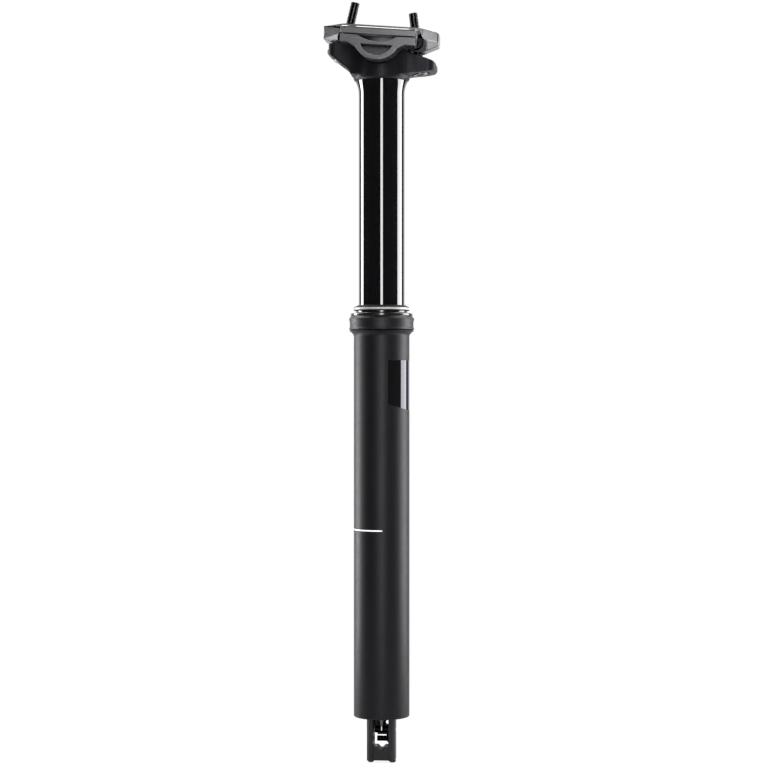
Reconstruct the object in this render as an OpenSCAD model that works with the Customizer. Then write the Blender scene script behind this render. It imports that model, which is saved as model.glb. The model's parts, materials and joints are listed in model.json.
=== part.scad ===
// Dropper seatpost: a telescoping bicycle seatpost with a two-bolt rail clamp on its head
// and a cable lever under its lower end.
// Millimetres, +Z up, +X towards the front of the bicycle, drawn fully extended.
// The origin is on the post axis, where the outer tube begins to flare out to its collar.

/* [Outer tube] */
// Outside diameter of the outer tube, the size that fits the bicycle frame
tube_d = 30.9; // [30.7:0.1:31.6]
// Bore of the outer tube
tube_bore = 27.5; // [27.4:0.1:27.8]
// Length of the outer tube below its shoulder
tube_len = 210.5; // [200:0.5:250]
// Diameter of the flared shoulder and of the collar that sits on it
shoulder_d = 36; // [35:0.5:40]
// Height of the flared shoulder
shoulder_h = 3.3; // [2.5:0.1:6]
// Height of the threaded spigot above the shoulder
spigot_h = 6.8; // [6:0.1:7.2]

/* [Collar and wiper] */
// Height of the collar cap
cap_h = 8.1; // [7.6:0.1:10]
// How far the two beads of the collar cap stand out of its waist
cap_bead = 0.4; // [0.2:0.1:0.8]
// Height of the wiper's flange on the collar cap
flange_h = 1.5; // [1:0.1:2.5]
// Height of the wiper's neck above its flange
neck_h = 2; // [1.5:0.1:4]
// Diameter of the wiper's neck
neck_d = 28.6; // [28.4:0.1:29.2]
// Wire diameter of the ring round the wiper
ring_wire = 1.3; // [1:0.1:1.6]
// Length of the upper bushing
upper_bush_len = 20; // [14:1:30]

/* [Stanchion] */
// Outside diameter of the stanchion
post_d = 25.4; // [25.2:0.1:25.6]
// Wall of the stanchion
post_wall = 1.8; // [1.6:0.1:2]
// Drop travel
travel = 100; // [60:5:105]
// Height of the head's lower rim above the shoulder
reach = 141.4; // [136:0.2:180]
// Height of the flare below the head's rim
flare_h = 7.7; // [5:0.1:12]
// Diameter of the flare at the head's rim
flare_d = 29.1; // [27.5:0.1:30]
// Length of the lower bushing
lower_bush_len = 20; // [12:1:26]
// Number of sliding keys
key_count = 3; // [2:1:4]
// Width of a sliding key
key_w = 2.6; // [2:0.1:4]
// Length of a sliding key
key_len = 12; // [8:1:16]

/* [Head] */
// Height of the clamp's tilt axis above the head's rim
tilt_h = 21.6; // [21.2:0.1:24]
// Radius of the cradle's round belly
belly_r = 13.2; // [12.6:0.1:13.4]
// Reach of the rear ear behind the post axis
ear_rear = 29.6; // [29:0.1:34]
// Reach of the front ear in front of the post axis
ear_front = 30.7; // [29.5:0.1:34]
// Width of the ears
ear_w = 20; // [19:0.5:22]
// Diameter of the head's middle
head_d = 31.2; // [30.6:0.2:34]
// Length of the head's plug inside the stanchion
plug_len = 20; // [12:1:30]

/* [Rail clamp] */
// Tilt of the clamp as drawn, front down
tilt = 4.4; // [3:0.1:5]
// Diameter of the saddle rails
rail_d = 7; // [6.8:0.1:7.1]
// Distance between the two saddle rails
rail_gauge = 44; // [43:0.5:45]
// Width of the clamp across the rails
clamp_w = 53; // [52.6:0.2:58]
// Reach of the jaws behind the tilt axis
jaw_rear = 20; // [18:0.5:20.5]
// Reach of the jaws in front of the tilt axis
jaw_front = 21; // [18:0.5:22]
// Gap between the two jaws
jaw_gap = 0.5; // [0.3:0.1:0.8]
// Thickness of the lower jaw below the rail axis
lower_jaw = 4.5; // [4.3:0.1:5]
// Thickness of the upper jaw above the rail axis
upper_jaw = 4; // [4:0.1:5]
// Half length of the upper clamp's arms
arm_reach = 31.9; // [31:0.1:34]
// Width of the upper clamp's arms
arm_w = 15; // [14:0.2:15.4]
// Height of the arms above the rail axis
arm_top = 8.5; // [8:0.1:10]
// Distance of the barrel nuts from the tilt axis
nut_reach = 19.7; // [19.4:0.1:20]
// Height of the barrel nuts above the rail axis
nut_rise = 0.7; // [0.4:0.1:1]
// Diameter of the barrel nuts
nut_d = 8; // [7.6:0.1:8.4]

/* [Clamp bolts] */
// Thread diameter of the clamp bolts
bolt_d = 5; // [4.8:0.1:5]
// Length of the clamp bolts under the head
bolt_len = 30; // [28:0.5:36]
// Head diameter of the clamp bolts
bolt_head_d = 8.4; // [8:0.1:9]
// Head height of the clamp bolts
bolt_head_h = 3.5; // [3:0.1:4]
// Lean of the rear bolt, top forwards
rear_lean = 13.5; // [13:0.1:14]
// Lean of the front bolt, top forwards
front_lean = -7; // [-7.5:0.1:-6.5]
// Distance from the rear nut down to its bolt's seat
rear_seat = 8.5; // [8.5:0.1:9.2]
// Distance from the front nut down to its bolt's seat
front_seat = 12.4; // [11.8:0.1:12.5]

/* [Cartridge] */
// Outside diameter of the cartridge tube
cart_d = 20; // [19:0.1:20.4]
// Bore of the cartridge tube
cart_bore = 16; // [15:0.1:16.4]
// Diameter of the piston rod
rod_d = 10; // [9:0.1:11]
// Diameter of the rod's threaded lower stub
rod_stub_d = 5; // [4.5:0.1:5.2]
// Diameter of the release pin
pin_d = 1.6; // [1.4:0.1:1.8]

/* [Lower end and actuator] */
// Thickness of the end cap
end_cap_t = 5; // [4.5:0.1:7]
// Distance from the tube's lower end to the circlip
clip_inset = 2.8; // [2:0.1:4]
// Width of the yoke's window
window_w = 8.6; // [8.4:0.1:9.4]
// Thickness of the yoke's legs
leg_t = 3.5; // [3.3:0.1:4.2]
// Depth of the yoke's legs
leg_depth = 12; // [11.6:0.1:13]
// Distance from the tube's lower end to the foot of the yoke's legs
leg_drop = 24.1; // [23.8:0.1:27]
// Diameter of the cable housing that enters the stop
housing_d = 5; // [4.5:0.1:5.4]
// Diameter of the cable barrel
barrel_d = 3; // [2.6:0.1:3.4]
// Diameter of the lever's pivot pin
pivot_d = 2; // [1.6:0.1:2.2]
// Thread diameter of the actuator screws
screw_d = 2; // [1.8:0.1:2]

/* [Hidden] */
$fn = 96;

// Clearances
run_gap = 0.05;
thread_gap = 0.05;
press_gap = 0.02;
seal_gap = 0.02;
bolt_gap = 0.25;
nut_gap = 0.4;
ear_gap = 0.4;
belly_gap = 0.1;
wing_gap = 0.6;
lever_gap = 0.3;
housing_gap = 0.1;
seal_side = 0.1;
over = 1;

// Radii that several pieces share
tube_r = tube_d / 2;
bore_r = tube_bore / 2;
post_r = post_d / 2;
post_bore_r = post_r - post_wall;
slide_r = post_r + run_gap;
rod_r = rod_d / 2;
stub_r = rod_stub_d / 2;
pin_r = pin_d / 2;
pin_hole_r = pin_r + run_gap;
cart_r = cart_d / 2;
cart_bore_r = cart_bore / 2;
belly_seat_r = belly_r + belly_gap;

// Heights at the lower end
tube_end = -tube_len;
clip_t = 1.2;
clip_groove = 0.8;
clip_z = tube_end + clip_inset;
end_cap_z = clip_z + clip_t;
end_cap_top = end_cap_z + end_cap_t;
bumper_t = 2;
bottom_gap = 1;
stub_len = 4.5;
screw_depth = 4;
post_bottom = end_cap_top + bumper_t + bottom_gap + travel;

// Heights at the collar
cap_seam = 0.1;
wiper_sink = 3;
bush_recess = 0.4;
lip_inset = 0.5;
lip_h = 1;
cap_z = shoulder_h + cap_seam;
cap_top = cap_z + cap_h;
spigot_top = shoulder_h + spigot_h;
wiper_base = spigot_top - wiper_sink;
bush_bottom = wiper_base - upper_bush_len;
bush_r = bore_r + bush_recess;
cap_edge = 0.8;
cap_top_r = shoulder_d / 2 - cap_edge;
flange_top = cap_top + flange_h;
neck_r = neck_d / 2;
neck_top = flange_top + neck_h;
cap_lip_r = neck_r - lip_inset;
ring_sink = 0.1;
ring_in = neck_r - ring_sink;
ring_r = ring_in + ring_wire / 2;
wiper_tip = neck_top + ring_wire + lip_h;

// Heights in the stanchion and its cartridge
retainer_h = 5;
gland_h = 8;
topout_t = 2.5;
topout_gap = 0.5;
piston_h = 7;
piston_nut_h = 4;
piston_groove_h = 2.4;
gland_groove_h = 2;
gland_lip = 2;
seal_groove = 1.2;
cart_z = post_bottom + retainer_h;
gland_top = cart_z + gland_h;
piston_z = gland_top + topout_t + topout_gap;
piston_top = piston_z + piston_h;
nut_top = piston_top + piston_nut_h;
stub_top_r = 3;
poppet_gap = 0.1;
poppet_z = nut_top + poppet_gap;
poppet_h = 2.4;
float_h = 8;
float_gap = 3;
float_stroke = travel * pow(rod_d / cart_bore, 2);
float_z = poppet_z + poppet_h + travel - float_stroke + float_gap;
plug_h = 8;
cart_top = float_z + float_h + float_stroke + float_gap + plug_h;
key_inset = 4;
key_sink = 0.9;
key_stand = 0.85;
key_top_gap = 0.1;
key_over = 6;
key_z = post_bottom + key_inset;
key_in = post_r - key_sink;
key_out = bore_r + key_stand;
groove_out = key_out + key_top_gap;
groove_top = key_z + key_len + key_over;
lower_bush_z = key_z + key_len + key_inset;

// Clamp geometry: the tilt axis runs along Y through tilt_z
tilt_z = reach + tilt_h;
ear_half = ear_w / 2;
arm_half = arm_w / 2;
clamp_half = clamp_w / 2;
wing_in = head_d / 2 + wing_gap;
jaw_half_gap = jaw_gap / 2;
nut_inset = 0.1;
nut_half = arm_half - nut_inset;
bolt_r = bolt_d / 2;

// Offset of each bolt in its nut as drawn, which centres it over the clamp's tilt
rear_shift = 0.11;
front_shift = -0.11;

// Heights of the actuator
yoke_t = 3;
yoke_z = end_cap_z - yoke_t;
leg_foot = tube_end - leg_drop;
window_half = window_w / 2;
leg_out = window_half + leg_t;
leg_half = leg_depth / 2;
screw_x = window_half + leg_t / 2;
nut_corner_inset = 0.5;
nut_corner_r = window_half - nut_corner_inset;
boss_wall = 0.9;
boss_r = pivot_d / 2 + boss_wall;
pivot_y = 3.2;
pivot_drop = 8;
pivot_z = tube_end - pivot_drop;
pad_drop = 0.8;
pad_z = pivot_z - pad_drop;
barrel_y = 9.5;
barrel_drop = 14.1;
barrel_z = tube_end - barrel_drop;
lever_half = window_half - lever_gap;
housing_y = 8.2;
stop_front_drop = 16.1;
stop_front_top = tube_end - stop_front_drop;
stop_step = 3;
stop_rear_top = stop_front_top - stop_step;

// A ring about the post axis
module ring(r_in, r_out, z_low, z_high) {
    rotate_extrude()
        translate([r_in, z_low])
            square([r_out - r_in, z_high - z_low]);
}

// A disc about the post axis
module disc(r, z_low, z_high) {
    translate([0, 0, z_low])
        cylinder(h = z_high - z_low, r = r);
}

// A side outline, X across and Z up, given its width along Y
module across(width) {
    rotate([90, 0, 0])
        linear_extrude(width, center = true)
            children();
}

// A cross section, Y across and Z up, extruded along +X
module along(length) {
    rotate([90, 0, 90])
        linear_extrude(length)
            children();
}

// The clamp's own frame: X along the rails, Z square to them
module in_clamp() {
    translate([0, 0, tilt_z])
        rotate([0, tilt, 0])
            children();
}

// A bolt's frame: at its nut's centre, Z along the bolt
module at_nut(side, lean) {
    in_clamp()
        translate([side * nut_reach, 0, nut_rise])
            rotate([0, lean - tilt, 0])
                children();
}

// Outline of a flare: the radius grows from r_low to r_high as a power of the height
function flare(r_low, r_high, z_low, z_high, power, steps = 8) = [
    for (i = [0 : steps])
        [r_low + (r_high - r_low) * pow(i / steps, power), z_low + (z_high - z_low) * i / steps]
];

module outer_tube() {
    chamfer = 0.6;
    shoulder_power = 2;
    color("#3b3b3e")
        difference() {
            rotate_extrude()
                polygon(concat(
                    [[bore_r, tube_end], [tube_r - chamfer, tube_end], [tube_r, tube_end + chamfer]],
                    flare(tube_r, shoulder_d / 2, 0, shoulder_h, shoulder_power),
                    [
                        [tube_r, shoulder_h], [tube_r, spigot_top],
                        [bush_r, spigot_top], [bush_r, bush_bottom], [bore_r, bush_bottom]
                    ]
                ));
            ring(bore_r - over, bore_r + clip_groove, clip_z, clip_z + clip_t);
            for (i = [0 : key_count - 1])
                rotate([0, 0, 360 * i / key_count])
                    translate([0, -key_w / 2 - run_gap, tube_end - over])
                        cube([groove_out, key_w + 2 * run_gap, groove_top - tube_end + over]);
        }
}

module collar_cap() {
    cap_r = shoulder_d / 2;
    bore = tube_r + thread_gap;
    waist_inset = 0.3;
    waist = cap_r - waist_inset;
    bead = waist + cap_bead;
    edge = 0.5;
    bead_h = 1.2;
    bead_run = 1.4;
    crown_h = 1.1;
    low_bead = cap_z + bead_h;
    bead_top = cap_top - crown_h;
    high_bead = bead_top - bead_h;
    color("#333336")
        rotate_extrude()
            polygon([
                [bore, cap_z], [waist - edge, cap_z], [bead, cap_z + edge], [bead, low_bead],
                [waist, low_bead + bead_run], [waist, high_bead - bead_run], [bead, high_bead], [bead, bead_top],
                [cap_top_r, cap_top], [cap_lip_r, cap_top], [cap_lip_r, spigot_top], [bore, spigot_top]
            ]);
}

module wiper_seal() {
    base_r = bush_r - run_gap;
    lip_r = cap_lip_r - press_gap;
    seat_r = ring_in - press_gap;
    fillet = 0.6;
    tip_wall = 0.5;
    color("#101011")
        rotate_extrude()
            polygon([
                [slide_r, wiper_base], [base_r, wiper_base], [base_r, spigot_top], [lip_r, spigot_top],
                [lip_r, cap_top], [cap_top_r, cap_top], [cap_top_r, flange_top - fillet],
                [cap_top_r - fillet, flange_top], [neck_r + fillet, flange_top], [neck_r, flange_top + fillet],
                [neck_r, neck_top], [seat_r, neck_top], [seat_r, neck_top + ring_wire],
                [slide_r + tip_wall, wiper_tip], [slide_r, wiper_tip]
            ]);
}

module wiper_ring() {
    color("#c9c9cc")
        rotate_extrude()
            translate([ring_r, neck_top + ring_wire / 2 + press_gap])
                circle(d = ring_wire, $fn = 32);
}

module upper_bushing() {
    color("#7d6f52")
        ring(slide_r, bush_r - press_gap, bush_bottom, wiper_base);
}

module end_cap() {
    color("#2c2c2e")
        difference() {
            ring(stub_r + press_gap, bore_r - press_gap, end_cap_z, end_cap_top);
            for (side = [-1, 1])
                translate([side * screw_x, 0, end_cap_z - over])
                    cylinder(h = screw_depth + over, d = screw_d + 2 * press_gap);
        }
}

module end_cap_clip() {
    clip_width = 1.6;
    clip_in = bore_r - clip_width;
    clip_out = bore_r + clip_groove - run_gap;
    slot = 10;
    color("#8a8a8d")
        difference() {
            ring(clip_in, clip_out, clip_z, clip_z + clip_t);
            translate([-tube_r, -slot / 2, clip_z - over])
                cube([tube_r, slot, clip_t + 2 * over]);
        }
}

module bottom_bumper() {
    rod_room = 2;
    tube_room = 1.5;
    color("#1c1c1d")
        ring(rod_r + rod_room, bore_r - tube_room, end_cap_top, end_cap_top + bumper_t);
}

module piston_rod() {
    stub_low = end_cap_z - stub_len;
    color("#b5b5b8")
        difference() {
            union() {
                disc(stub_r, stub_low, end_cap_top);
                disc(rod_r, end_cap_top, piston_z);
                disc(stub_top_r, piston_z, nut_top);
            }
            disc(pin_hole_r, stub_low - over, nut_top + over);
        }
}

module rod_piston() {
    groove_low = piston_z + (piston_h - piston_groove_h) / 2;
    color("#9c9ca0")
        difference() {
            ring(stub_top_r + press_gap, cart_bore_r - run_gap, piston_z, piston_top);
            ring(cart_bore_r - seal_groove, cart_bore_r + over, groove_low, groove_low + piston_groove_h);
        }
}

module piston_seal() {
    seal_h = piston_groove_h - 2 * seal_side;
    seal_low = piston_z + (piston_h - seal_h) / 2;
    color("#151515")
        ring(cart_bore_r - seal_groove + press_gap, cart_bore_r - seal_gap, seal_low, seal_low + seal_h);
}

module piston_nut() {
    corner_r = 5.2;
    color("#a5a5a8")
        difference() {
            translate([0, 0, piston_top])
                cylinder(h = piston_nut_h, r = corner_r, $fn = 6);
            disc(stub_top_r + press_gap, piston_top - over, nut_top + over);
        }
}

module rod_nut() {
    hex_over = 0.5;
    hex_low = end_cap_z - stub_len - hex_over;
    cone_h = 4.8;
    cone_low = hex_low - cone_h;
    tip_wall = 0.5;
    color("#6c6c70")
        difference() {
            union() {
                translate([0, 0, hex_low])
                    cylinder(h = end_cap_z - hex_low, r = nut_corner_r, $fn = 6);
                translate([0, 0, cone_low])
                    cylinder(h = cone_h, r1 = pin_r + tip_wall, r2 = nut_corner_r * cos(30));
            }
            disc(stub_r + press_gap, hex_low, end_cap_z + over);
            disc(pin_hole_r, cone_low - over, hex_low + over);
        }
}

module actuator_yoke() {
    flange_edge = 0.2;
    flange_r = norm([leg_out, leg_half]) + flange_edge;
    nut_hole_r = nut_corner_r + lever_gap;
    wall_t = 1.4;
    wall_y = pivot_y + boss_r + lever_gap;
    wall_half = window_half + leg_t / 2;
    wall_over = 1;
    wall_low = pivot_z + wall_over;
    drain_r = 1.1;
    drain_x = window_half - drain_r - lever_gap;
    drain_rise = 2.6;
    color("#2b2b2d")
        difference() {
            union() {
                disc(flange_r, yoke_z, end_cap_z);
                for (side = [-1, 1])
                    translate([side * screw_x - leg_t / 2, -leg_half, leg_foot])
                        cube([leg_t, leg_depth, yoke_z - leg_foot + over]);
                translate([-wall_half, wall_y, wall_low])
                    cube([2 * wall_half, wall_t, yoke_z - wall_low + over]);
            }
            translate([drain_x, wall_y - over, wall_low + drain_rise])
                rotate([-90, 0, 0])
                    cylinder(h = wall_t + 2 * over, r = drain_r);
            disc(nut_hole_r, yoke_z - over, end_cap_z + over);
            for (side = [-1, 1])
                translate([side * screw_x, 0, leg_foot - over])
                    cylinder(h = end_cap_z - leg_foot + 2 * over, d = screw_d + 2 * press_gap);
            translate([0, pivot_y, pivot_z])
                rotate([0, 90, 0])
                    cylinder(h = 2 * (leg_out + over), d = pivot_d + 2 * press_gap, center = true);
            stop_tongues(press_gap);
            leg_corners();
        }
}

// Bevels down the outer corners of the yoke's legs
module leg_corners() {
    bevel = 1.1;
    height = yoke_z - leg_foot;
    for (side = [-1, 1], face = [-1, 1])
        translate([side * leg_out, face * leg_half, leg_foot - over])
            rotate([0, 0, 45])
                translate([-bevel, -bevel, 0])
                    cube([2 * bevel, 2 * bevel, height + over]);
}

module actuator_screws() {
    head_edge = 0.9;
    head_r = screw_d / 2 + head_edge;
    head_h = 1.5;
    dome = 0.6;
    socket_r = 0.8;
    socket_h = 0.8;
    end_gap = 0.2;
    color("#1b1b1c")
        for (side = [-1, 1])
            translate([side * screw_x, 0, 0])
                difference() {
                    union() {
                        disc(screw_d / 2, leg_foot, end_cap_z + screw_depth - end_gap);
                        disc(head_r, leg_foot - head_h + dome, leg_foot);
                        translate([0, 0, leg_foot - head_h])
                            cylinder(h = dome, r1 = head_r - dome, r2 = head_r);
                    }
                    translate([0, 0, leg_foot - head_h - over])
                        cylinder(h = over + socket_h, r = socket_r, $fn = 6);
                }
}

// Tongues that hold the housing stop in the yoke's legs
module stop_tongues(gap) {
    tongue = 1.2;
    tongue_w = 2;
    inset = 1.5;
    tongue_low = leg_foot + inset;
    tongue_high = stop_front_top - inset;
    tongue_y = -leg_half + inset;
    for (side = [-1, 1])
        translate([side * window_half - tongue - gap, tongue_y - gap, tongue_low - gap])
            cube([2 * (tongue + gap), tongue_w + 2 * gap, tongue_high - tongue_low + 2 * gap]);
}

module housing_stop() {
    block_half = window_half - press_gap;
    front_inset = 0.5;
    front_y = -leg_half + front_inset;
    step_y = 3.4;
    inlet_r = housing_d / 2 + housing_gap;
    inlet_depth = 3.6;
    stop_wall = 1.2;
    cable_r = 0.9;
    foot_inset = 0.2;
    foot = leg_foot + foot_inset;
    notch = 1.4;
    color("#39393c")
        difference() {
            union() {
                translate([-block_half, front_y, foot])
                    cube([2 * block_half, step_y - front_y, stop_front_top - foot]);
                translate([-block_half, step_y - over, foot])
                    cube([2 * block_half, housing_y - step_y + over, stop_rear_top - foot]);
                translate([0, housing_y, foot])
                    cylinder(h = stop_rear_top - foot, r = inlet_r + stop_wall);
                stop_tongues(0);
            }
            translate([0, housing_y, foot - over])
                cylinder(h = inlet_depth + over, r = inlet_r);
            translate([0, housing_y, foot])
                cylinder(h = stop_rear_top - foot + over, r = cable_r);
            translate([0, front_y - over, stop_front_top])
                rotate([0, 45, 0])
                    translate([-notch, 0, -notch])
                        cube([2 * notch, step_y - front_y + 2 * over, 2 * notch]);
        }
}

module lever_pivot() {
    color("#909094")
        translate([0, pivot_y, pivot_z])
            rotate([0, 90, 0])
                cylinder(h = 2 * leg_out, d = pivot_d, center = true);
}

module stanchion() {
    flare_z = reach - flare_h;
    flare_power = 2.4;
    color("#0c0c0d")
        difference() {
            rotate_extrude()
                polygon(concat(
                    [[post_bore_r, post_bottom], [post_r, post_bottom]],
                    flare(post_r, flare_d / 2, flare_z, reach, flare_power),
                    [[post_bore_r, reach]]
                ));
            for (i = [0 : key_count - 1])
                rotate([0, 0, 360 * i / key_count])
                    translate([key_in, -key_w / 2 - press_gap, key_z])
                        cube([post_r, key_w + 2 * press_gap, key_len]);
        }
}

// Rounds a flat outline's outer and inner corners
module soften(outer, inner) {
    offset(r = -inner, $fn = 48)
        offset(delta = inner)
            offset(r = outer, $fn = 48)
                offset(delta = -outer)
                    children();
}

// A point of the head's side outline, its height counted down from the tilt axis
function below(x, drop) = [x, tilt_h - drop];

// Side outline of the forged head above its rim
module head_side() {
    rim_r = head_d / 2;
    edge = 1.2;
    sweep = 5;
    rear_shelf = 0.7;
    rear_tip_top = 2.2;
    rear_tip_low = 6.6;
    rear_under = 8.4;
    rear_tuck = 2.8;
    rear_root = 15.9;
    rear_root_out = 1.7;
    front_shelf = 5.6;
    front_slope = 9.4;
    front_slope_out = 4;
    front_nose = 1.5;
    front_tip_top = 12.9;
    front_tip_low = 15.5;
    front_chin = 1.2;
    front_root = 18.4;
    front_root_out = 2.4;
    soften(edge, sweep)
        polygon([
            below(-ear_rear, rear_tip_low), below(-ear_rear, rear_tip_top),
            below(-ear_rear + edge, rear_tip_top - edge),
            below(-nut_reach, rear_shelf), below(-belly_r, rear_shelf), below(belly_r, front_shelf),
            below(nut_reach + front_slope_out, front_slope),
            below(ear_front - front_nose, front_tip_top - front_nose), below(ear_front, front_tip_top),
            below(ear_front, front_tip_low), below(ear_front - front_chin, front_tip_low + front_chin),
            below(rim_r + front_root_out, front_root), [rim_r, 0], [-rim_r, 0],
            below(-rim_r - rear_root_out, rear_root), below(-ear_rear + rear_tuck, rear_under)
        ]);
}

// Plan outline of the forged head: a round middle that runs out into two ears
module head_plan() {
    fillet = 18;
    corner = 4.5;
    soften(corner, fillet)
        union() {
            circle(d = head_d);
            translate([-ear_rear, -ear_half])
                square([ear_front + ear_rear, ear_w]);
        }
}

// Space above the ears in which the upper clamp's arms swing
module arm_space() {
    rear_floor = 4.25;
    front_floor = 9.6;
    step_floor = 8;
    slope_floor = 7.7;
    slope_in = 7.7;
    slope_out = 4;
    reach_out = ear_rear + ear_front;
    across(arm_w + 2 * ear_gap)
        polygon([
            below(-reach_out, rear_floor), below(0, rear_floor), below(0, step_floor),
            below(nut_reach - slope_in, slope_floor), below(nut_reach + slope_out, front_floor),
            below(reach_out, front_floor), below(reach_out, 0), below(-reach_out, 0)
        ]);
}

// Bolt hole and counterbore of one ear, in the bolt's frame
module bolt_seat(seat, shift) {
    head_room = 0.8;
    counterbore_r = bolt_head_d / 2 + head_room;
    deep = 20;
    translate([shift, 0, -seat]) {
        cylinder(h = 2 * deep, r = bolt_r + bolt_gap, center = true);
        translate([0, 0, -deep])
            cylinder(h = deep, r = counterbore_r);
    }
}

module post_head() {
    rim_h = 1.3;
    rim_r = head_d / 2;
    skirt_r = ear_rear + ear_front;
    skirt_drop = 16.6;
    skirt_power = 5;
    color("#1d1d1f")
        difference() {
            union() {
                translate([0, 0, reach])
                    intersection() {
                        across(2 * head_d)
                            head_side();
                        linear_extrude(2 * tilt_h)
                            head_plan();
                        rotate_extrude()
                            polygon(concat(
                                [[0, 0], [flare_d / 2, 0]],
                                flare(rim_r, skirt_r, rim_h, tilt_h - skirt_drop, skirt_power),
                                [[skirt_r, 2 * tilt_h], [0, 2 * tilt_h]]
                            ));
                    }
                rotate_extrude()
                    polygon([
                        [0, reach - plug_len], [post_bore_r - press_gap, reach - plug_len],
                        [post_bore_r - press_gap, reach], [flare_d / 2, reach], [rim_r, reach + rim_h],
                        [rim_r, reach + tilt_h / 2], [0, reach + tilt_h / 2]
                    ]);
            }
            translate([0, 0, tilt_z])
                rotate([90, 0, 0])
                    cylinder(h = 2 * head_d, r = belly_seat_r, center = true);
            translate([0, 0, reach])
                arm_space();
            at_nut(-1, rear_lean)
                bolt_seat(rear_seat, rear_shift);
            at_nut(1, front_lean)
                bolt_seat(front_seat, front_shift);
        }
}

module lower_bushing() {
    color("#7d6f52")
        ring(post_r + press_gap, bore_r - run_gap, lower_bush_z, lower_bush_z + lower_bush_len);
}

module slide_keys() {
    color("#b08d4a")
        for (i = [0 : key_count - 1])
            rotate([0, 0, 360 * i / key_count])
                translate([key_in, -key_w / 2, key_z])
                    cube([key_out - key_in, key_w, key_len]);
}

module cartridge_tube() {
    color("#8d8d92")
        ring(cart_bore_r, cart_r, cart_z, cart_top);
}

module cartridge_gland() {
    groove_top = gland_top - gland_lip;
    color("#77777b")
        difference() {
            ring(rod_r + run_gap, cart_bore_r - press_gap, cart_z, gland_top);
            ring(0, rod_r + seal_groove, groove_top - gland_groove_h, groove_top);
        }
}

module gland_seal() {
    seal_top = gland_top - gland_lip - seal_side;
    seal_low = gland_top - gland_lip - gland_groove_h + seal_side;
    color("#151515")
        ring(rod_r + seal_gap, rod_r + seal_groove - seal_side, seal_low, seal_top);
}

module topout_bumper() {
    rod_room = 0.3;
    tube_room = 0.5;
    color("#1c1c1d")
        ring(rod_r + rod_room, cart_bore_r - tube_room, gland_top, gland_top + topout_t);
}

module cartridge_cap() {
    brim_h = 3;
    color("#77777b")
        union() {
            disc(cart_bore_r - press_gap, cart_top - plug_h, cart_top);
            disc(cart_r, cart_top, cart_top + brim_h);
        }
}

module cartridge_retainer() {
    rod_room = 1;
    color("#5d5d61")
        ring(rod_r + rod_room, post_bore_r - thread_gap, post_bottom, cart_z);
}

module floating_piston() {
    recess_wall = 3;
    recess_r = cart_bore_r - recess_wall;
    recess_h = 4;
    color("#9c9ca0")
        difference() {
            disc(cart_bore_r - run_gap, float_z, float_z + float_h);
            disc(recess_r, float_z + float_h - recess_h, float_z + float_h + over);
        }
}

// A clamp bolt in its own frame, with its bearing face at z = 0
module bolt() {
    tip = 0.6;
    socket_r = 2.3;
    socket_h = 2.2;
    edge = 0.4;
    cylinder(h = bolt_len - tip, r = bolt_r);
    translate([0, 0, bolt_len - tip])
        cylinder(h = tip, r1 = bolt_r, r2 = bolt_r - tip);
    difference() {
        union() {
            translate([0, 0, -bolt_head_h + edge])
                cylinder(h = bolt_head_h - edge, d = bolt_head_d);
            translate([0, 0, -bolt_head_h])
                cylinder(h = edge, r1 = bolt_head_d / 2 - edge, r2 = bolt_head_d / 2);
        }
        translate([0, 0, -bolt_head_h - over])
            cylinder(h = socket_h + over, r = socket_r, $fn = 6);
    }
}

module clamp_bolts() {
    color("#161617") {
        at_nut(-1, rear_lean)
            translate([rear_shift, 0, -rear_seat])
                bolt();
        at_nut(1, front_lean)
            translate([front_shift, 0, -front_seat])
                bolt();
    }
}

// Cylinders where the saddle rails lie, in the clamp's frame
module rails() {
    for (side = [-1, 1])
        translate([0, side * rail_gauge / 2, 0])
            rotate([0, 90, 0])
                cylinder(h = 2 * arm_reach, d = rail_d, center = true);
}

module lower_cradle() {
    pocket_wall = 3.7;
    pocket_r = belly_r - pocket_wall;
    pocket_drop = 1.1;
    pocket_top = 5.2;
    pocket_depth = 7;
    relief_half = 9;
    relief = 2.2;
    color("#5b5b60")
        in_clamp()
            difference() {
                union() {
                    across(clamp_w)
                        difference() {
                            circle(r = belly_r);
                            translate([-2 * belly_r, -jaw_half_gap])
                                square([4 * belly_r, 2 * belly_r]);
                        }
                    for (side = [-1, 1])
                        translate([0, side * (clamp_half + wing_in) / 2, 0])
                            across(clamp_half - wing_in)
                                jaw_side();
                }
                rails();
                translate([-relief_half, -clamp_w, -relief])
                    cube([2 * relief_half, 2 * clamp_w, 2 * relief]);
                for (side = [-1, 1])
                    translate([0, side * clamp_half, 0])
                        across(2 * pocket_depth)
                            difference() {
                                translate([0, -pocket_drop])
                                    circle(r = pocket_r);
                                translate([-belly_r, -pocket_top])
                                    square([2 * belly_r, 2 * belly_r]);
                            }
            }
}

// Side outline of the lower jaw's two wings, faired into the belly
module jaw_side() {
    run_out = 2;
    tuck = belly_r * cos(30);
    tuck_low = -belly_r * sin(30);
    translate([-jaw_rear, -lower_jaw])
        square([jaw_rear + jaw_front, lower_jaw - jaw_half_gap]);
    polygon([
        [-belly_r - run_out, -lower_jaw], [-tuck, tuck_low], [tuck, tuck_low],
        [belly_r + run_out, -lower_jaw]
    ]);
}

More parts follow.
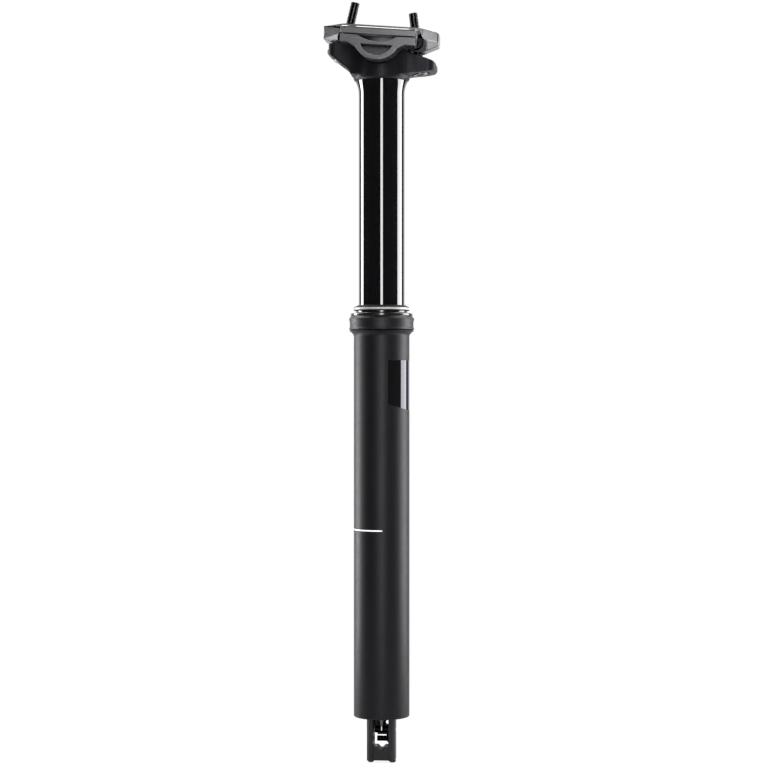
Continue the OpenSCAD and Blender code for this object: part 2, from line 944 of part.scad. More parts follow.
// Side outline of the upper clamp's spine and arms
module spine_side() {
    shoulder = jaw_front;
    end_drop = 2.2;
    end_low = -0.6;
    root_out = 1.4;
    root = belly_r + root_out;
    root_run = 1.6;
    front_keel = -4.7;
    front_flat = 3.8;
    rear_keel = -2.7;
    rear_flat = 6.3;
    polygon([
        [-arm_reach, arm_top - end_drop], [-shoulder, arm_top], [shoulder, arm_top],
        [arm_reach, arm_top - end_drop], [arm_reach, end_low], [nut_reach + front_flat, front_keel],
        [root + root_run, front_keel], [root, jaw_half_gap], [-root, jaw_half_gap],
        [-root - root_run, rear_keel], [-nut_reach - rear_flat, rear_keel], [-arm_reach, end_low]
    ]);
}

// Boat-shaped limit of one arm: upright sides down to a ridge, then drawn in to a keel
module arm_hull() {
    ridge_out = 1.9;
    ridge_u = jaw_front + ridge_out;
    ridge_w = 2.9;
    ridge_slope = 18.4;
    keel_half = 4.2;
    keel_deep = 8;
    tall = 30;
    back = 14;
    translate([ridge_u, 0, ridge_w])
        rotate([0, ridge_slope, 0])
            translate([-back, 0, 0])
                along(3 * back)
                    polygon([
                        [-arm_half, tall], [-arm_half, 0], [-keel_half, -keel_deep],
                        [keel_half, -keel_deep], [arm_half, 0], [arm_half, tall]
                    ]);
}

// Slot in which a bolt passes through an arm, in the bolt's frame
module bolt_slot() {
    sway = 1;
    slot_r = bolt_r + nut_gap;
    tall = 40;
    cube([2 * sway, 2 * slot_r, tall], center = true);
    for (side = [-1, 1])
        translate([side * sway, 0, 0])
            cylinder(h = tall, r = slot_r, center = true);
}

module upper_clamp() {
    edge = 0.8;
    rail_rise = 1;
    over_rail = upper_jaw + rail_rise;
    crown_rise = 2.4;
    crown = upper_jaw + crown_rise;
    crown_half = 9;
    rail_y = rail_gauge / 2;
    color("#a3a3a8")
        difference() {
            in_clamp()
                difference() {
                    union() {
                        translate([-jaw_rear, 0, 0])
                            along(jaw_rear + jaw_front)
                                polygon([
                                    [-clamp_half, jaw_half_gap], [clamp_half, jaw_half_gap],
                                    [clamp_half, upper_jaw - edge], [clamp_half - edge, upper_jaw],
                                    [rail_y, over_rail], [crown_half, crown],
                                    [-crown_half, crown], [-rail_y, over_rail],
                                    [-clamp_half + edge, upper_jaw], [-clamp_half, upper_jaw - edge]
                                ]);
                        intersection() {
                            across(arm_w)
                                spine_side();
                            union() {
                                arm_hull();
                                mirror([1, 0, 0])
                                    arm_hull();
                                translate([-belly_r, -arm_half, 0])
                                    cube([2 * belly_r, arm_w, 2 * arm_top]);
                            }
                        }
                    }
                    rails();
                    for (side = [-1, 1])
                        translate([side * nut_reach, 0, nut_rise])
                            rotate([90, 0, 0])
                                cylinder(h = arm_w + nut_d, d = nut_d + 2 * run_gap, center = true);
                }
            at_nut(-1, rear_lean)
                bolt_slot();
            at_nut(1, front_lean)
                bolt_slot();
        }
}

// A barrel nut in its bolt's frame
module barrel_nut() {
    difference() {
        rotate([90, 0, 0])
            cylinder(h = 2 * nut_half, d = nut_d, center = true);
        cylinder(h = 2 * nut_d, r = bolt_r + nut_gap, center = true);
    }
}

module rear_nut() {
    color("#2a2a2c")
        at_nut(-1, rear_lean)
            barrel_nut();
}

module front_nut() {
    color("#2a2a2c")
        at_nut(1, front_lean)
            barrel_nut();
}

// A slice of the lever between two X places, from its side outline
module lever_plate(x_low, x_high) {
    translate([x_low, 0, 0])
        along(x_high - x_low)
            children();
}

module release_lever() {
    eye_wall = 0.8;
    cheek_t = 1.7;
    arm = 1.3;
    pad_half = 2.2;
    pad_t = 1.2;
    pad_front = -1.6;
    color("#2e2e30")
        difference() {
            union() {
                lever_plate(-lever_half, lever_half)
                    translate([pivot_y, pivot_z])
                        circle(r = boss_r);
                lever_plate(lever_half - cheek_t, lever_half)
                    union() {
                        translate([barrel_y, barrel_z])
                            circle(r = barrel_d / 2 + eye_wall);
                        polygon([
                            [pivot_y - arm, pivot_z - arm], [pivot_y + arm, pivot_z + arm],
                            [barrel_y + arm, barrel_z + arm], [barrel_y - arm, barrel_z - arm]
                        ]);
                    }
                lever_plate(-pad_half, lever_half)
                    translate([pad_front, pad_z - pad_t])
                        square([pivot_y - pad_front, pad_t]);
            }
            translate([0, pivot_y, pivot_z])
                rotate([0, 90, 0])
                    cylinder(h = 2 * leg_out, r = pivot_d / 2 + run_gap, center = true);
            translate([0, barrel_y, barrel_z])
                rotate([0, 90, 0])
                    cylinder(h = 2 * leg_out, r = barrel_d / 2 + press_gap, center = true);
        }
}

module cable_barrel() {
    barrel_inset = 0.6;
    barrel_end = -lever_half + barrel_inset;
    cable_hole_r = 0.7;
    color("#8a8a8e")
        difference() {
            translate([barrel_end, barrel_y, barrel_z])
                rotate([0, 90, 0])
                    cylinder(h = lever_half - barrel_end, d = barrel_d);
            translate([0, barrel_y, barrel_z])
                cylinder(h = 2 * barrel_d, r = cable_hole_r, center = true);
        }
}

module release_pin() {
    poppet_r = 1.8;
    poppet_edge = 0.2;
    tip_z = pad_z + poppet_gap;
    color("#c4c4c8")
        union() {
            disc(pin_r, tip_z + pin_r, poppet_z + poppet_h);
            translate([0, 0, tip_z + pin_r])
                sphere(r = pin_r);
            translate([0, 0, poppet_z])
                cylinder(h = poppet_h, r1 = poppet_r, r2 = pin_r + poppet_edge);
        }
}

outer_tube();
collar_cap();
wiper_seal();
wiper_ring();
upper_bushing();
end_cap();
end_cap_clip();
bottom_bumper();
piston_rod();
rod_piston();
piston_seal();
piston_nut();
rod_nut();
actuator_yoke();
actuator_screws();
housing_stop();
lever_pivot();
stanchion();
post_head();
lower_bushing();
slide_keys();
cartridge_tube();
cartridge_gland();
gland_seal();
topout_bumper();
cartridge_cap();
cartridge_retainer();
floating_piston();
clamp_bolts();
lower_cradle();
upper_clamp();
rear_nut();
front_nut();
release_lever();
cable_barrel();
release_pin();
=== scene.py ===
"""Dropper seatpost: finishes, threads, rounded forgings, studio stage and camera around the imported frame."""

import json
import math

import bpy
from bpy.props import FloatProperty, FloatVectorProperty, IntProperty, PointerProperty
from mathutils import Euler, Matrix, Vector

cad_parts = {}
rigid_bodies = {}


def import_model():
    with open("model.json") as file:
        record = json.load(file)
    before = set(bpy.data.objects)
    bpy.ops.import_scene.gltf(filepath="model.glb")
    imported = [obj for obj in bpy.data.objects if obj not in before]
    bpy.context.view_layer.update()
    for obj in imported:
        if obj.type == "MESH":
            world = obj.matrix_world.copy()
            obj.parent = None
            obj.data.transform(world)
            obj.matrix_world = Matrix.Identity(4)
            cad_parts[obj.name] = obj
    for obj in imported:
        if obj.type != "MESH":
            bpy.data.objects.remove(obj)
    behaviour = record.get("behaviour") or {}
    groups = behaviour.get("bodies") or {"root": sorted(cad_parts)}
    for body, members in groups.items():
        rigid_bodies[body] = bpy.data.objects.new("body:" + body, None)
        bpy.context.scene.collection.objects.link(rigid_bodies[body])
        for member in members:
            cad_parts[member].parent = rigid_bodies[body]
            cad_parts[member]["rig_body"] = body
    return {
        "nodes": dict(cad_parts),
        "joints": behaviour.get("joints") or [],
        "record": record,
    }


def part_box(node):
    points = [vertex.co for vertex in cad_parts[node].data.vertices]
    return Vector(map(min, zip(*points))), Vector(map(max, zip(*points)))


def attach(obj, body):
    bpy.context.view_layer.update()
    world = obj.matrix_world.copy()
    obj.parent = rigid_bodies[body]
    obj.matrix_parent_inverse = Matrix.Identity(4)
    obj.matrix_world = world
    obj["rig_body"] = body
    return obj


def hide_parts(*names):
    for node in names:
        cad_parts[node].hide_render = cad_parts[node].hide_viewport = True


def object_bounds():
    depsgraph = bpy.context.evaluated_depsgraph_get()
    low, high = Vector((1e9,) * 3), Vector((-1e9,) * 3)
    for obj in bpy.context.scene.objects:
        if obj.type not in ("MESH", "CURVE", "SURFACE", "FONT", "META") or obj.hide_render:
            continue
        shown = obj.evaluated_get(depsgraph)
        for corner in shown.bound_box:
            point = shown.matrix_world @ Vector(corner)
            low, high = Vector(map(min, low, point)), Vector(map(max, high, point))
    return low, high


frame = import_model()
CAD_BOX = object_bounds()

bl_info = {
    "name": "Dropper Seatpost",
    "version": (1, 0, 0),
    "blender": (4, 5, 0),
    "location": "View3D > Sidebar > Seatpost",
    "description": "Models and finishes a telescopic bicycle seatpost on its packed frame",
    "category": "Object",
}

MM = 0.001
NODES = frame["nodes"]
JOINTS = {joint["name"]: joint for joint in frame["joints"]}
MOUNTS = {mount["name"]: mount for mount in frame["record"]["mounts"]}
TUBE_RADIUS = MOUNTS["seat_tube"]["dims"]["r_mm"] * MM
FINISHES = {}

# Limits of the mesh tools: points to merge, faces to join as flat, edges to bevel, edges to keep sharp
WELD = 1e-6
FLAT = math.radians(0.5)
CREASE = math.radians(25.0)
BEVEL_SHARP = 40.0
BOLT_SHARP = 35.0

# Corners where the flats of the clamp's arms begin, and the block that planes them
TAPER_CORNER = Vector((23.4, -7.5, 163.0)) * MM
KEEL_CORNER = Vector((25.6, -7.0, 162.8)) * MM
FRONT_TIP = Vector((31.7, -6.4, 163.0)) * MM
REAR_TIP = Vector((-31.2, -7.5, 168.0)) * MM
PLANING_BLOCK = Vector((13.0, 6.0, 24.0)) * MM

# Sockets of the Mix node by its kind: the two values and the result
MIX_SOCKETS = {"RGBA": ((6, 7), 2), "FLOAT": ((2, 3), 0)}

# The part of a noise that a finish spreads out, and the strength of a blasted surface's relief
NOISE_MIDDLE = (0.3, 0.7)
BLAST_RELIEF = 0.35


def length(name, description, default_mm):
    """A length property, given in millimetres and kept in metres."""
    return FloatProperty(name=name, description=description, default=default_mm * MM, precision=5,
                         subtype="DISTANCE", unit="LENGTH")


def angle(name, description, degrees):
    """An angle property, given in degrees and kept in radians."""
    return FloatProperty(name=name, description=description, default=math.radians(degrees),
                         subtype="ANGLE", unit="ROTATION")


def share(name, description, value):
    """A number from 0 to 1."""
    return FloatProperty(name=name, description=description, default=value, min=0.0, max=1.0,
                         subtype="FACTOR")


def colour(name, description, value):
    """A linear colour property."""
    return FloatVectorProperty(name=name, description=description, default=value, size=3, min=0.0, max=1.0,
                               subtype="COLOR")


class SeatpostSizes(bpy.types.PropertyGroup):
    """Sizes of the modelled pieces that the frame doesn't give."""

    tube_bore: length("Tube bore", "Bore of the outer tube", 27.5)
    tube_chamfer: length("Tube chamfer", "Chamfer round the outer tube's lower end", 0.6)
    flare_height: length("Flare height", "Height of the stanchion's flare below the head", 7.7)
    stanchion_diameter: length("Stanchion diameter", "Outside diameter of the sliding stanchion", 25.4)
    stanchion_wall: length("Stanchion wall", "Wall of the stanchion", 1.8)
    neck_diameter: length("Neck diameter", "Diameter of the wiper's neck under its ring", 28.6)
    wiper_flange: length("Wiper flange", "Height of the wiper's flange on the collar", 1.5)
    collar_edge: length("Collar edge", "How far the collar's crown stands inside its shoulder", 0.8)
    bead_height: length("Bead height", "How far the collar's beads stand out of its waist", 0.42)
    bolt_diameter: length("Bolt diameter", "Outside diameter of the clamp bolts' thread", 5.0)
    bolt_pitch: length("Bolt pitch", "Pitch of the clamp bolts' thread", 0.8)
    bolt_length: length("Bolt length", "Length of a clamp bolt under its head", 30.0)
    bolt_head_diameter: length("Bolt head", "Diameter of a clamp bolt's head", 8.4)
    bolt_head_height: length("Bolt head height", "Height of a clamp bolt's head", 5.0)
    rear_lean: angle("Rear bolt lean", "Lean of the rear bolt, top forwards", 13.5)
    front_lean: angle("Front bolt lean", "Lean of the front bolt, top forwards", -7.0)
    rear_seat: length("Rear seat", "From the rear nut down to its bolt's bearing face", 8.5)
    front_seat: length("Front seat", "From the front nut down to its bolt's bearing face", 12.4)
    bolt_offset: length("Bolt offset", "Offset of each bolt in its nut, towards the post", 0.11)
    ring_drop: length("Ring drop", "How far the ring's lower edge sits under the wire's", 0.25)
    ring_band: length("Ring band", "Height of the ring's face", 1.2)
    ring_lip: length("Ring lip", "Height of the wiper's lips over and under the ring", 0.4)
    nut_hole: length("Nut hole", "Diameter of the hole through a barrel nut", 5.8)
    forged_voxel: length("Forged voxel", "Cell of the grid that rounds the forged head", 0.34)
    clamp_bevel: length("Clamp bevel", "Width of the bevel along the clamp's edges", 0.35)
    arm_taper: angle("Arm taper", "Taper of the front arm's sides", 7.5)
    keel_turn: angle("Keel turn", "Turn of the front arm's lower flats", 1.2)
    keel_tilt: angle("Keel tilt", "Slope of the front arm's lower flats", 27.0)
    tip_turn: angle("Tip turn", "Turn of the flats beside the arms' tips", 65.0)
    rail_gauge: length("Rail gauge", "From rail to rail", 44.0)
    rail_diameter: length("Rail diameter", "Diameter of the saddle's rails", 7.0)
    jaw_gap: length("Jaw gap", "Gap between the cradle and the clamp", 0.5)
    filler_half: length("Filler half", "Half the length of the filling in the cradle's slot", 10.0)
    valley_half: length("Valley half", "Half the width of the arched relief", 10.9)
    valley_deep: length("Valley depth", "Depth of the arched relief under the jaw", 3.1)
    small_voxel: length("Small voxel", "Cell of the grid that rounds the actuator's pieces", 0.2)
    turns: IntProperty(name="Turns", description="Steps round a turned piece", default=128, min=24, max=256)


class SeatpostFinishes(bpy.types.PropertyGroup):
    """Colours and places of the finishes."""

    charcoal: colour("Charcoal", "Matt anodised outer tube", (0.0042, 0.0041, 0.0046))
    charcoal_cast: colour("Charcoal cast", "Cool cast of the anodised tube's shine", (0.92, 0.90, 1.0))
    gloss_black: colour("Gloss black", "Polished stanchion", (0.003, 0.003, 0.0035))
    panel_black: colour("Panel black", "Mirror of the gloss panel", (0.036, 0.036, 0.039))
    head_black: colour("Head black", "Blasted forging", (0.005, 0.005, 0.006))
    cradle_grey: colour("Cradle grey", "Satin lower cradle", (0.057, 0.057, 0.063))
    clamp_grey: colour("Clamp grey", "Satin upper clamp", (0.069, 0.069, 0.073))
    # Painted shade: the darker colour laid in the cradle's pockets where shade falls
    painted_pocket_shade: colour("Recess black", "Inside the cradle's pockets", (0.02, 0.02, 0.022))
    bolt_black: colour("Bolt black", "Black oxide steel", (0.055, 0.055, 0.058))
    nut_black: colour("Nut black", "Barrel nuts, release lever and cable barrel", (0.004, 0.004, 0.0045))
    bright_steel: colour("Bright steel", "Polished wire and pins", (0.72, 0.72, 0.74))
    ring_silver: colour("Ring silver", "Satin ring round the wiper", (0.28, 0.28, 0.29))
    plain_steel: colour("Plain steel", "Satin steel of the rod, nuts and bolt heads", (0.10, 0.10, 0.103))
    turned_alloy: colour("Turned alloy", "Cartridge pieces", (0.42, 0.42, 0.44))
    brass: colour("Brass", "Sliding keys", (0.60, 0.44, 0.17))
    liner: colour("Liner", "Filled bearing plastic of the bushings", (0.22, 0.17, 0.08))
    rubber: colour("Rubber", "Seals, wiper and bumpers", (0.008, 0.008, 0.008))
    actuator_black: colour("Actuator black", "Anodised yoke and cable stop", (0.009, 0.009, 0.010))
    mark_white: colour("Mark white", "Insertion mark", (0.75, 0.75, 0.75))
    mark_height: length("Mark height", "Height of the insertion mark", -106.8)
    mark_width: length("Mark width", "Width of the insertion mark's line", 0.75)
    mark_end: angle("Mark end", "How far round from the side towards the front the mark runs", 7.0)
    panel_top: length("Panel top", "Height of the gloss panel's top edge", -13.2)
    panel_low: length("Panel low", "Height of the gloss panel's lower edge at its end", -37.3)
    panel_end: angle("Panel end", "How far round from the side towards the front the panel starts", 19.0)
    panel_drop: FloatProperty(name="Panel drop", default=0.33,
                              description="Fall of the panel's lower edge per metre towards the front")


class SeatpostStage(bpy.types.PropertyGroup):
    """Camera and studio light."""

    camera_distance: length("Camera distance", "From the camera to the post's axis", 1105.0)
    camera_azimuth: angle("Camera azimuth", "Turn of the camera from the left side to the front", 5.75)
    camera_height: length("Camera height", "Height of the level camera", -24.9)
    focal_pixels: FloatProperty(name="Focal pixels", default=1990.0,
                                description="Focal length in pixels of the image")
    camera_shift: FloatProperty(name="Camera shift", default=-0.0002,
                                description="Sideways shift as a share of the image's width")
    image_pixels: IntProperty(name="Image pixels", description="Width of the square image", default=763)
    light_distance: length("Light distance", "From the lights to the post's axis", 1000.0)
    light_height: length("Light height", "Height of the strip lights", 4200.0)
    curtain_radius: length("Curtain radius", "Radius of the dark curtain round the stage", 1700.0)
    curtain_half: angle("Curtain half", "How far the curtain runs round to each side of the camera", 138.0)
    world_level: share("World level", "Soft light from all round", 0.05)
    floor_glow: share("Floor glow", "How much of the floor's white takes no shadow beside the post", 0.9)
    floor_fade: length("Floor fade", "How far from the post the floor turns plain white", 280.0)
    floor_radius: length("Floor radius", "Radius of the floor under the post", 300.0)


# Mesh tools


def deselect():
    """Leaves nothing selected."""
    if bpy.context.object and bpy.context.object.mode != "OBJECT":
        bpy.ops.object.mode_set(mode="OBJECT")
    bpy.ops.object.select_all(action="DESELECT")


def activate(piece):
    """Makes one piece the only selected one."""
    deselect()
    piece.select_set(True)
    bpy.context.view_layer.objects.active = piece


def edit_all(piece):
    """Opens a piece in edit mode with all of it selected."""
    activate(piece)
    bpy.ops.object.mode_set(mode="EDIT")
    bpy.ops.mesh.select_all(action="SELECT")


def apply_modifier(piece, kind, **settings):
    """Adds a modifier with these settings and applies it."""
    activate(piece)
    modifier = piece.modifiers.new(kind.title(), kind)
    for key, value in settings.items():
        setattr(modifier, key, value)
    bpy.ops.object.modifier_apply(modifier=modifier.name)


def combine(piece, other, operation, solver="EXACT"):
    """Adds another piece to this one, takes it out or keeps what both share, and deletes the other."""
    apply_modifier(piece, "BOOLEAN", operation=operation, solver=solver, object=other)
    bpy.data.objects.remove(other)


def smooth(piece, degrees=30.0):
    """Smooth shading with edges sharper than this kept."""
    activate(piece)
    bpy.ops.object.shade_smooth_by_angle(angle=math.radians(degrees))


def place(piece, matrix):
    """Moves a piece to its place and applies it to the mesh."""
    activate(piece)
    piece.matrix_world = matrix
    bpy.ops.object.transform_apply(location=True, rotation=True, scale=True)


def single_point(name, spot):
    """A mesh of one point, left in edit mode with the point selected."""
    deselect()
    bpy.ops.mesh.primitive_plane_add(size=MM)
    piece = bpy.context.object
    piece.name = name
    edit_all(piece)
    bpy.ops.mesh.merge(type="CENTER")
    bpy.ops.transform.translate(value=spot)
    return piece


def outline(name, points):
    """A chain of edges through (radius, height) points in the XZ plane, extruded one by one."""
    piece = single_point(name, (points[0][0], 0.0, points[0][1]))
    for before, after in zip(points, points[1:]):
        step = (after[0] - before[0], 0.0, after[1] - before[1])
        bpy.ops.mesh.extrude_vertices_move(TRANSFORM_OT_translate={"value": step})
    bpy.ops.object.mode_set(mode="OBJECT")
    return piece


def turned(name, points, steps):
    """A closed outline spun round the Z axis."""
    piece = outline(name, points + points[:1])
    edit_all(piece)
    bpy.ops.mesh.remove_doubles(threshold=WELD)
    bpy.ops.mesh.select_all(action="SELECT")
    bpy.ops.mesh.spin(steps=steps, angle=math.tau, center=(0.0, 0.0, 0.0), axis=(0.0, 0.0, 1.0))
    bpy.ops.mesh.select_all(action="SELECT")
    bpy.ops.mesh.remove_doubles(threshold=WELD)
    bpy.ops.mesh.normals_make_consistent(inside=False)
    bpy.ops.object.mode_set(mode="OBJECT")
    smooth(piece)
    return piece


def flare(low_radius, high_radius, low, high, power, steps=14):
    """Points of a flare whose radius grows as a power of the height."""
    points = []
    for i in range(steps + 1):
        share_up = i / steps
        radius = low_radius + (high_radius - low_radius) * share_up ** power
        points.append((radius, low + (high - low) * share_up))
    return points


def arc(centre, radius, start, end, steps=6):
    """Points of an arc in the outline's plane, from start to end degrees."""
    points = []
    for i in range(steps + 1):
        turn = math.radians(start + (end - start) * i / steps)
        points.append((centre[0] + radius * math.cos(turn), centre[1] + radius * math.sin(turn)))
    return points


def cylinder(name, radius, low, high, sides):
    """A cylinder on the Z axis."""
    deselect()
    bpy.ops.mesh.primitive_cylinder_add(vertices=sides, radius=radius, depth=high - low,
                                        location=(0.0, 0.0, (low + high) / 2))
    piece = bpy.context.object
    piece.name = name
    bpy.ops.object.transform_apply(location=True, rotation=True, scale=True)
    return piece


def block(size, matrix):
    """A box of this size, placed and applied, to add to a piece or to take out of it."""
    deselect()
    bpy.ops.mesh.primitive_cube_add(size=1.0, scale=size)
    piece = bpy.context.object
    bpy.ops.object.transform_apply(location=True, rotation=True, scale=True)
    place(piece, matrix)
    return piece


def merged_copy(name, node):
    """A copy of a node's mesh with its loose triangles merged."""
    piece = bpy.data.objects.new(name, NODES[node].data.copy())
    bpy.context.scene.collection.objects.link(piece)
    piece.data.materials.clear()
    edit_all(piece)
    bpy.ops.mesh.remove_doubles(threshold=WELD)
    bpy.ops.object.mode_set(mode="OBJECT")
    return piece


def rounded_copy(name, node, voxel, passes):
    """A merged copy of a node, remeshed and smoothed so that its edges are rounded over."""
    piece = merged_copy(name, node)
    apply_modifier(piece, "REMESH", mode="VOXEL", voxel_size=voxel, use_smooth_shade=True)
    apply_modifier(piece, "SMOOTH", factor=0.5, iterations=passes)
    return piece


def shave(piece, corner, turn, tilt, along):
    """Planes a flat through a corner: turned about Z from the -Y side, tilted to face down by so much.

    The flat reaches from the corner along +X or -X. The far side gets the same flat, mirrored.
    """
    size = PLANING_BLOCK
    for hand in (1.0, -1.0):
        heading = turn if hand > 0 else math.pi - turn
        spin = Euler((tilt, 0.0, heading))
        middle = Vector((hand * along * size.x / 2, -size.y / 2, 0.0))
        middle.rotate(spin)
        deselect()
        bpy.ops.mesh.primitive_cube_add(size=1.0, scale=size, rotation=spin,
                                        location=Vector((corner[0], hand * corner[1], corner[2])) + middle)
        combine(piece, bpy.context.object, "DIFFERENCE", "MANIFOLD")


def within(piece, node):
    """Stops if a point of a piece stands out of its node's box."""
    low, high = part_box(node)
    spare = 0.5 * MM
    for vertex in piece.data.vertices:
        for axis in range(3):
            if not low[axis] - spare < vertex.co[axis] < high[axis] + spare:
                raise RuntimeError(f"{piece.name} stands out of {node} at {tuple(vertex.co)}")


def bevelled(piece, node, width):
    """Joins up the flat faces of a piece and rounds its edges by a bevel."""
    edit_all(piece)
    bpy.ops.mesh.dissolve_limited(angle_limit=FLAT)
    bpy.ops.object.mode_set(mode="OBJECT")
    apply_modifier(piece, "BEVEL", width=width, segments=3, limit_method="ANGLE", angle_limit=CREASE,
                   use_clamp_overlap=False)
    smooth(piece, BEVEL_SHARP)
    apply_modifier(piece, "WEIGHTED_NORMAL", keep_sharp=True)
    within(piece, node)


def clamp_frame():
    """Place and tilt of the rail clamp, from its joint and its two nuts."""
    rear = Vector(JOINTS["rear_nut_turn"]["pos_m"])
    front = Vector(JOINTS["front_nut_turn"]["pos_m"])
    tilt = math.atan2(rear.z - front.z, front.x - rear.x)
    return Matrix.Translation(Vector(JOINTS["clamp_tilt"]["pos_m"])) @ Matrix.Rotation(tilt, 4, "Y")


def arched(cradle, sizes):
    """Fills the slot in the cradle's top, then cuts a shallow arch, the rails' grooves and the sides anew.

    No two faces lie in one plane: the filling stands a skin's width out and is trimmed with the sides.
    """
    home = clamp_frame()
    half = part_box("lower_cradle")[1].y
    skin = 0.05 * MM
    low, high = -3.0 * MM, 0.5 * MM
    filler = block((2 * sizes.filler_half, 2 * (half + skin), high - low),
                   home @ Matrix.Translation((0.0, 0.0, (low + high) / 2)))
    combine(cradle, filler, "UNION", "MANIFOLD")
    deep = sizes.valley_deep
    radius = (sizes.valley_half ** 2 + deep ** 2) / (2 * deep)
    arch = cylinder("arch", radius, -half - MM, half + MM, sides=160)
    rise = Matrix.Translation((0.0, 0.0, radius - deep - sizes.jaw_gap / 2))
    place(arch, home @ rise @ Matrix.Rotation(math.pi / 2, 4, "X"))
    combine(cradle, arch, "DIFFERENCE", "MANIFOLD")
    groove_radius = sizes.rail_diameter / 2 + skin
    groove_end = 50.0 * MM
    trim_size = (60.0 * MM, 2.0 * MM, 60.0 * MM)
    for hand in (1.0, -1.0):
        groove = cylinder("groove", groove_radius, -groove_end, groove_end, sides=64)
        across = Matrix.Translation((0.0, hand * sizes.rail_gauge / 2, 0.0))
        place(groove, home @ across @ Matrix.Rotation(math.pi / 2, 4, "Y"))
        combine(cradle, groove, "DIFFERENCE", "MANIFOLD")
        outward = hand * (half - skin + MM)
        trim = block(trim_size, home @ Matrix.Translation((0.0, outward, 0.0)))
        combine(cradle, trim, "DIFFERENCE", "MANIFOLD")


def threaded_shaft(name, radius, pitch, low, high):
    """A screw thread between two heights, cut square at both ends."""
    root = radius - 0.54 * pitch
    tooth = [(root, 0.0), (root, 0.12), (radius, 0.46), (radius, 0.6), (root, 0.94), (root, 1.0)]
    steps = 28
    turns = math.ceil((high - low) / pitch) + 3
    start = low - 1.5 * pitch
    shaft = outline(name, [(r, start + share_up * pitch) for r, share_up in tooth])
    apply_modifier(shaft, "SCREW", axis="Z", angle=math.tau, screw_offset=pitch, iterations=turns,
                   steps=steps, render_steps=steps, use_merge_vertices=True, merge_threshold=WELD,
                   use_smooth_shade=True)
    for plane, normal in ((low, (0.0, 0.0, -1.0)), (high, (0.0, 0.0, 1.0))):
        edit_all(shaft)
        bpy.ops.mesh.bisect(plane_co=(0.0, 0.0, plane), plane_no=normal, use_fill=True, clear_outer=True)
    bpy.ops.mesh.select_all(action="SELECT")
    bpy.ops.mesh.normals_make_consistent(inside=False)
    bpy.ops.object.mode_set(mode="OBJECT")
    return shaft


def clamp_bolt(name, sizes):
    """A socket-head bolt along Z with its bearing face at zero, and the numbers of its head's faces."""
    steps = 48
    radius = sizes.bolt_diameter / 2
    head_radius = sizes.bolt_head_diameter / 2
    head = sizes.bolt_head_height
    edge = 0.45 * MM
    neck = 0.5 * MM
    points = [(0.0, neck), (0.0, -head)]
    points += arc((head_radius - edge, -head + edge), edge, -90.0, 0.0)
    points += arc((head_radius - edge / 2, -edge / 2), edge / 2, 0.0, 90.0, 3)
    points += [(radius, 0.0), (radius, neck)]
    bolt = turned(name, points, steps)
    socket_radius = head_radius * 0.55
    socket_floor = -head * 0.35
    combine(bolt, cylinder("socket", socket_radius, -head - MM, socket_floor, sides=6), "DIFFERENCE")
    end = sizes.bolt_length
    thread_start = 0.2 * MM
    shaft = threaded_shaft("thread", radius, sizes.bolt_pitch, thread_start, end + MM)
    wide = radius + 0.1 * MM
    tip = 0.9 * MM
    tip_radius = radius * 0.72
    envelope = [(0.0, 0.0), (wide, 0.0), (wide, end - tip), (tip_radius, end), (0.0, end)]
    combine(shaft, turned("envelope", envelope, steps), "INTERSECT")
    activate(bolt)
    shaft.select_set(True)
    bpy.ops.object.join()
    smooth(bolt, BOLT_SHARP)
    head_faces = [face.index for face in bolt.data.polygons if face.center.z < 0.0]
    return bolt, head_faces


def settle(piece, node, slot, finish=None):
    """Gives a finished piece its material, and lets it stand for a node on the node's body.

    The material is the slot's own where no other finish is named.
    """
    piece.data.materials.clear()
    piece.data.materials.append(finishes()[finish or slot])
    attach(piece, NODES[node]["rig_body"])
    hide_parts(node)


def second_finish(piece, finish, faces):
    """Gives some faces of a settled piece another finish."""
    piece.data.materials.append(finishes()[finish])
    for index in faces:
        piece.data.polygons[index].material_index = 1


# Finishes


class NodeTree:
    """Nodes of a material or a world, added and linked one by one."""

    def __init__(self, tree):
        self.tree = tree

    def add(self, kind, **settings):
        """A new node with these settings."""
        node = self.tree.nodes.new(kind)
        for key, value in settings.items():
            setattr(node, key, value)
        return node

    def link(self, value, socket):
        """Joins an output to a socket, or sets the socket to a number or a colour."""
        if isinstance(value, bpy.types.NodeSocket):
            self.tree.links.new(value, socket)
        elif isinstance(value, (int, float)):
            socket.default_value = value
        else:
            socket.default_value = (*value, 1.0)

    def math(self, operation, first, second=0.0, third=0.0):
        """One Math node."""
        node = self.add("ShaderNodeMath", operation=operation)
        for socket, value in zip(node.inputs, (first, second, third)):
            self.link(value, socket)
        return node.outputs[0]

    def seen_rays(self):
        """1 for a camera, glossy or transmission ray, 0 for the light that falls on things."""
        path = self.add("ShaderNodeLightPath").outputs
        seen = self.math("MAXIMUM", path["Is Camera Ray"], path["Is Glossy Ray"])
        return self.math("MAXIMUM", seen, path["Is Transmission Ray"])

    def mix_shaders(self, factor, first, second, output):
        """Mixes two shaders into the tree's output."""
        node = self.add("ShaderNodeMixShader")
        for socket, value in zip(node.inputs, (factor, first.outputs[0], second.outputs[0])):
            self.link(value, socket)
        self.link(node.outputs[0], self.tree.nodes[output].inputs["Surface"])


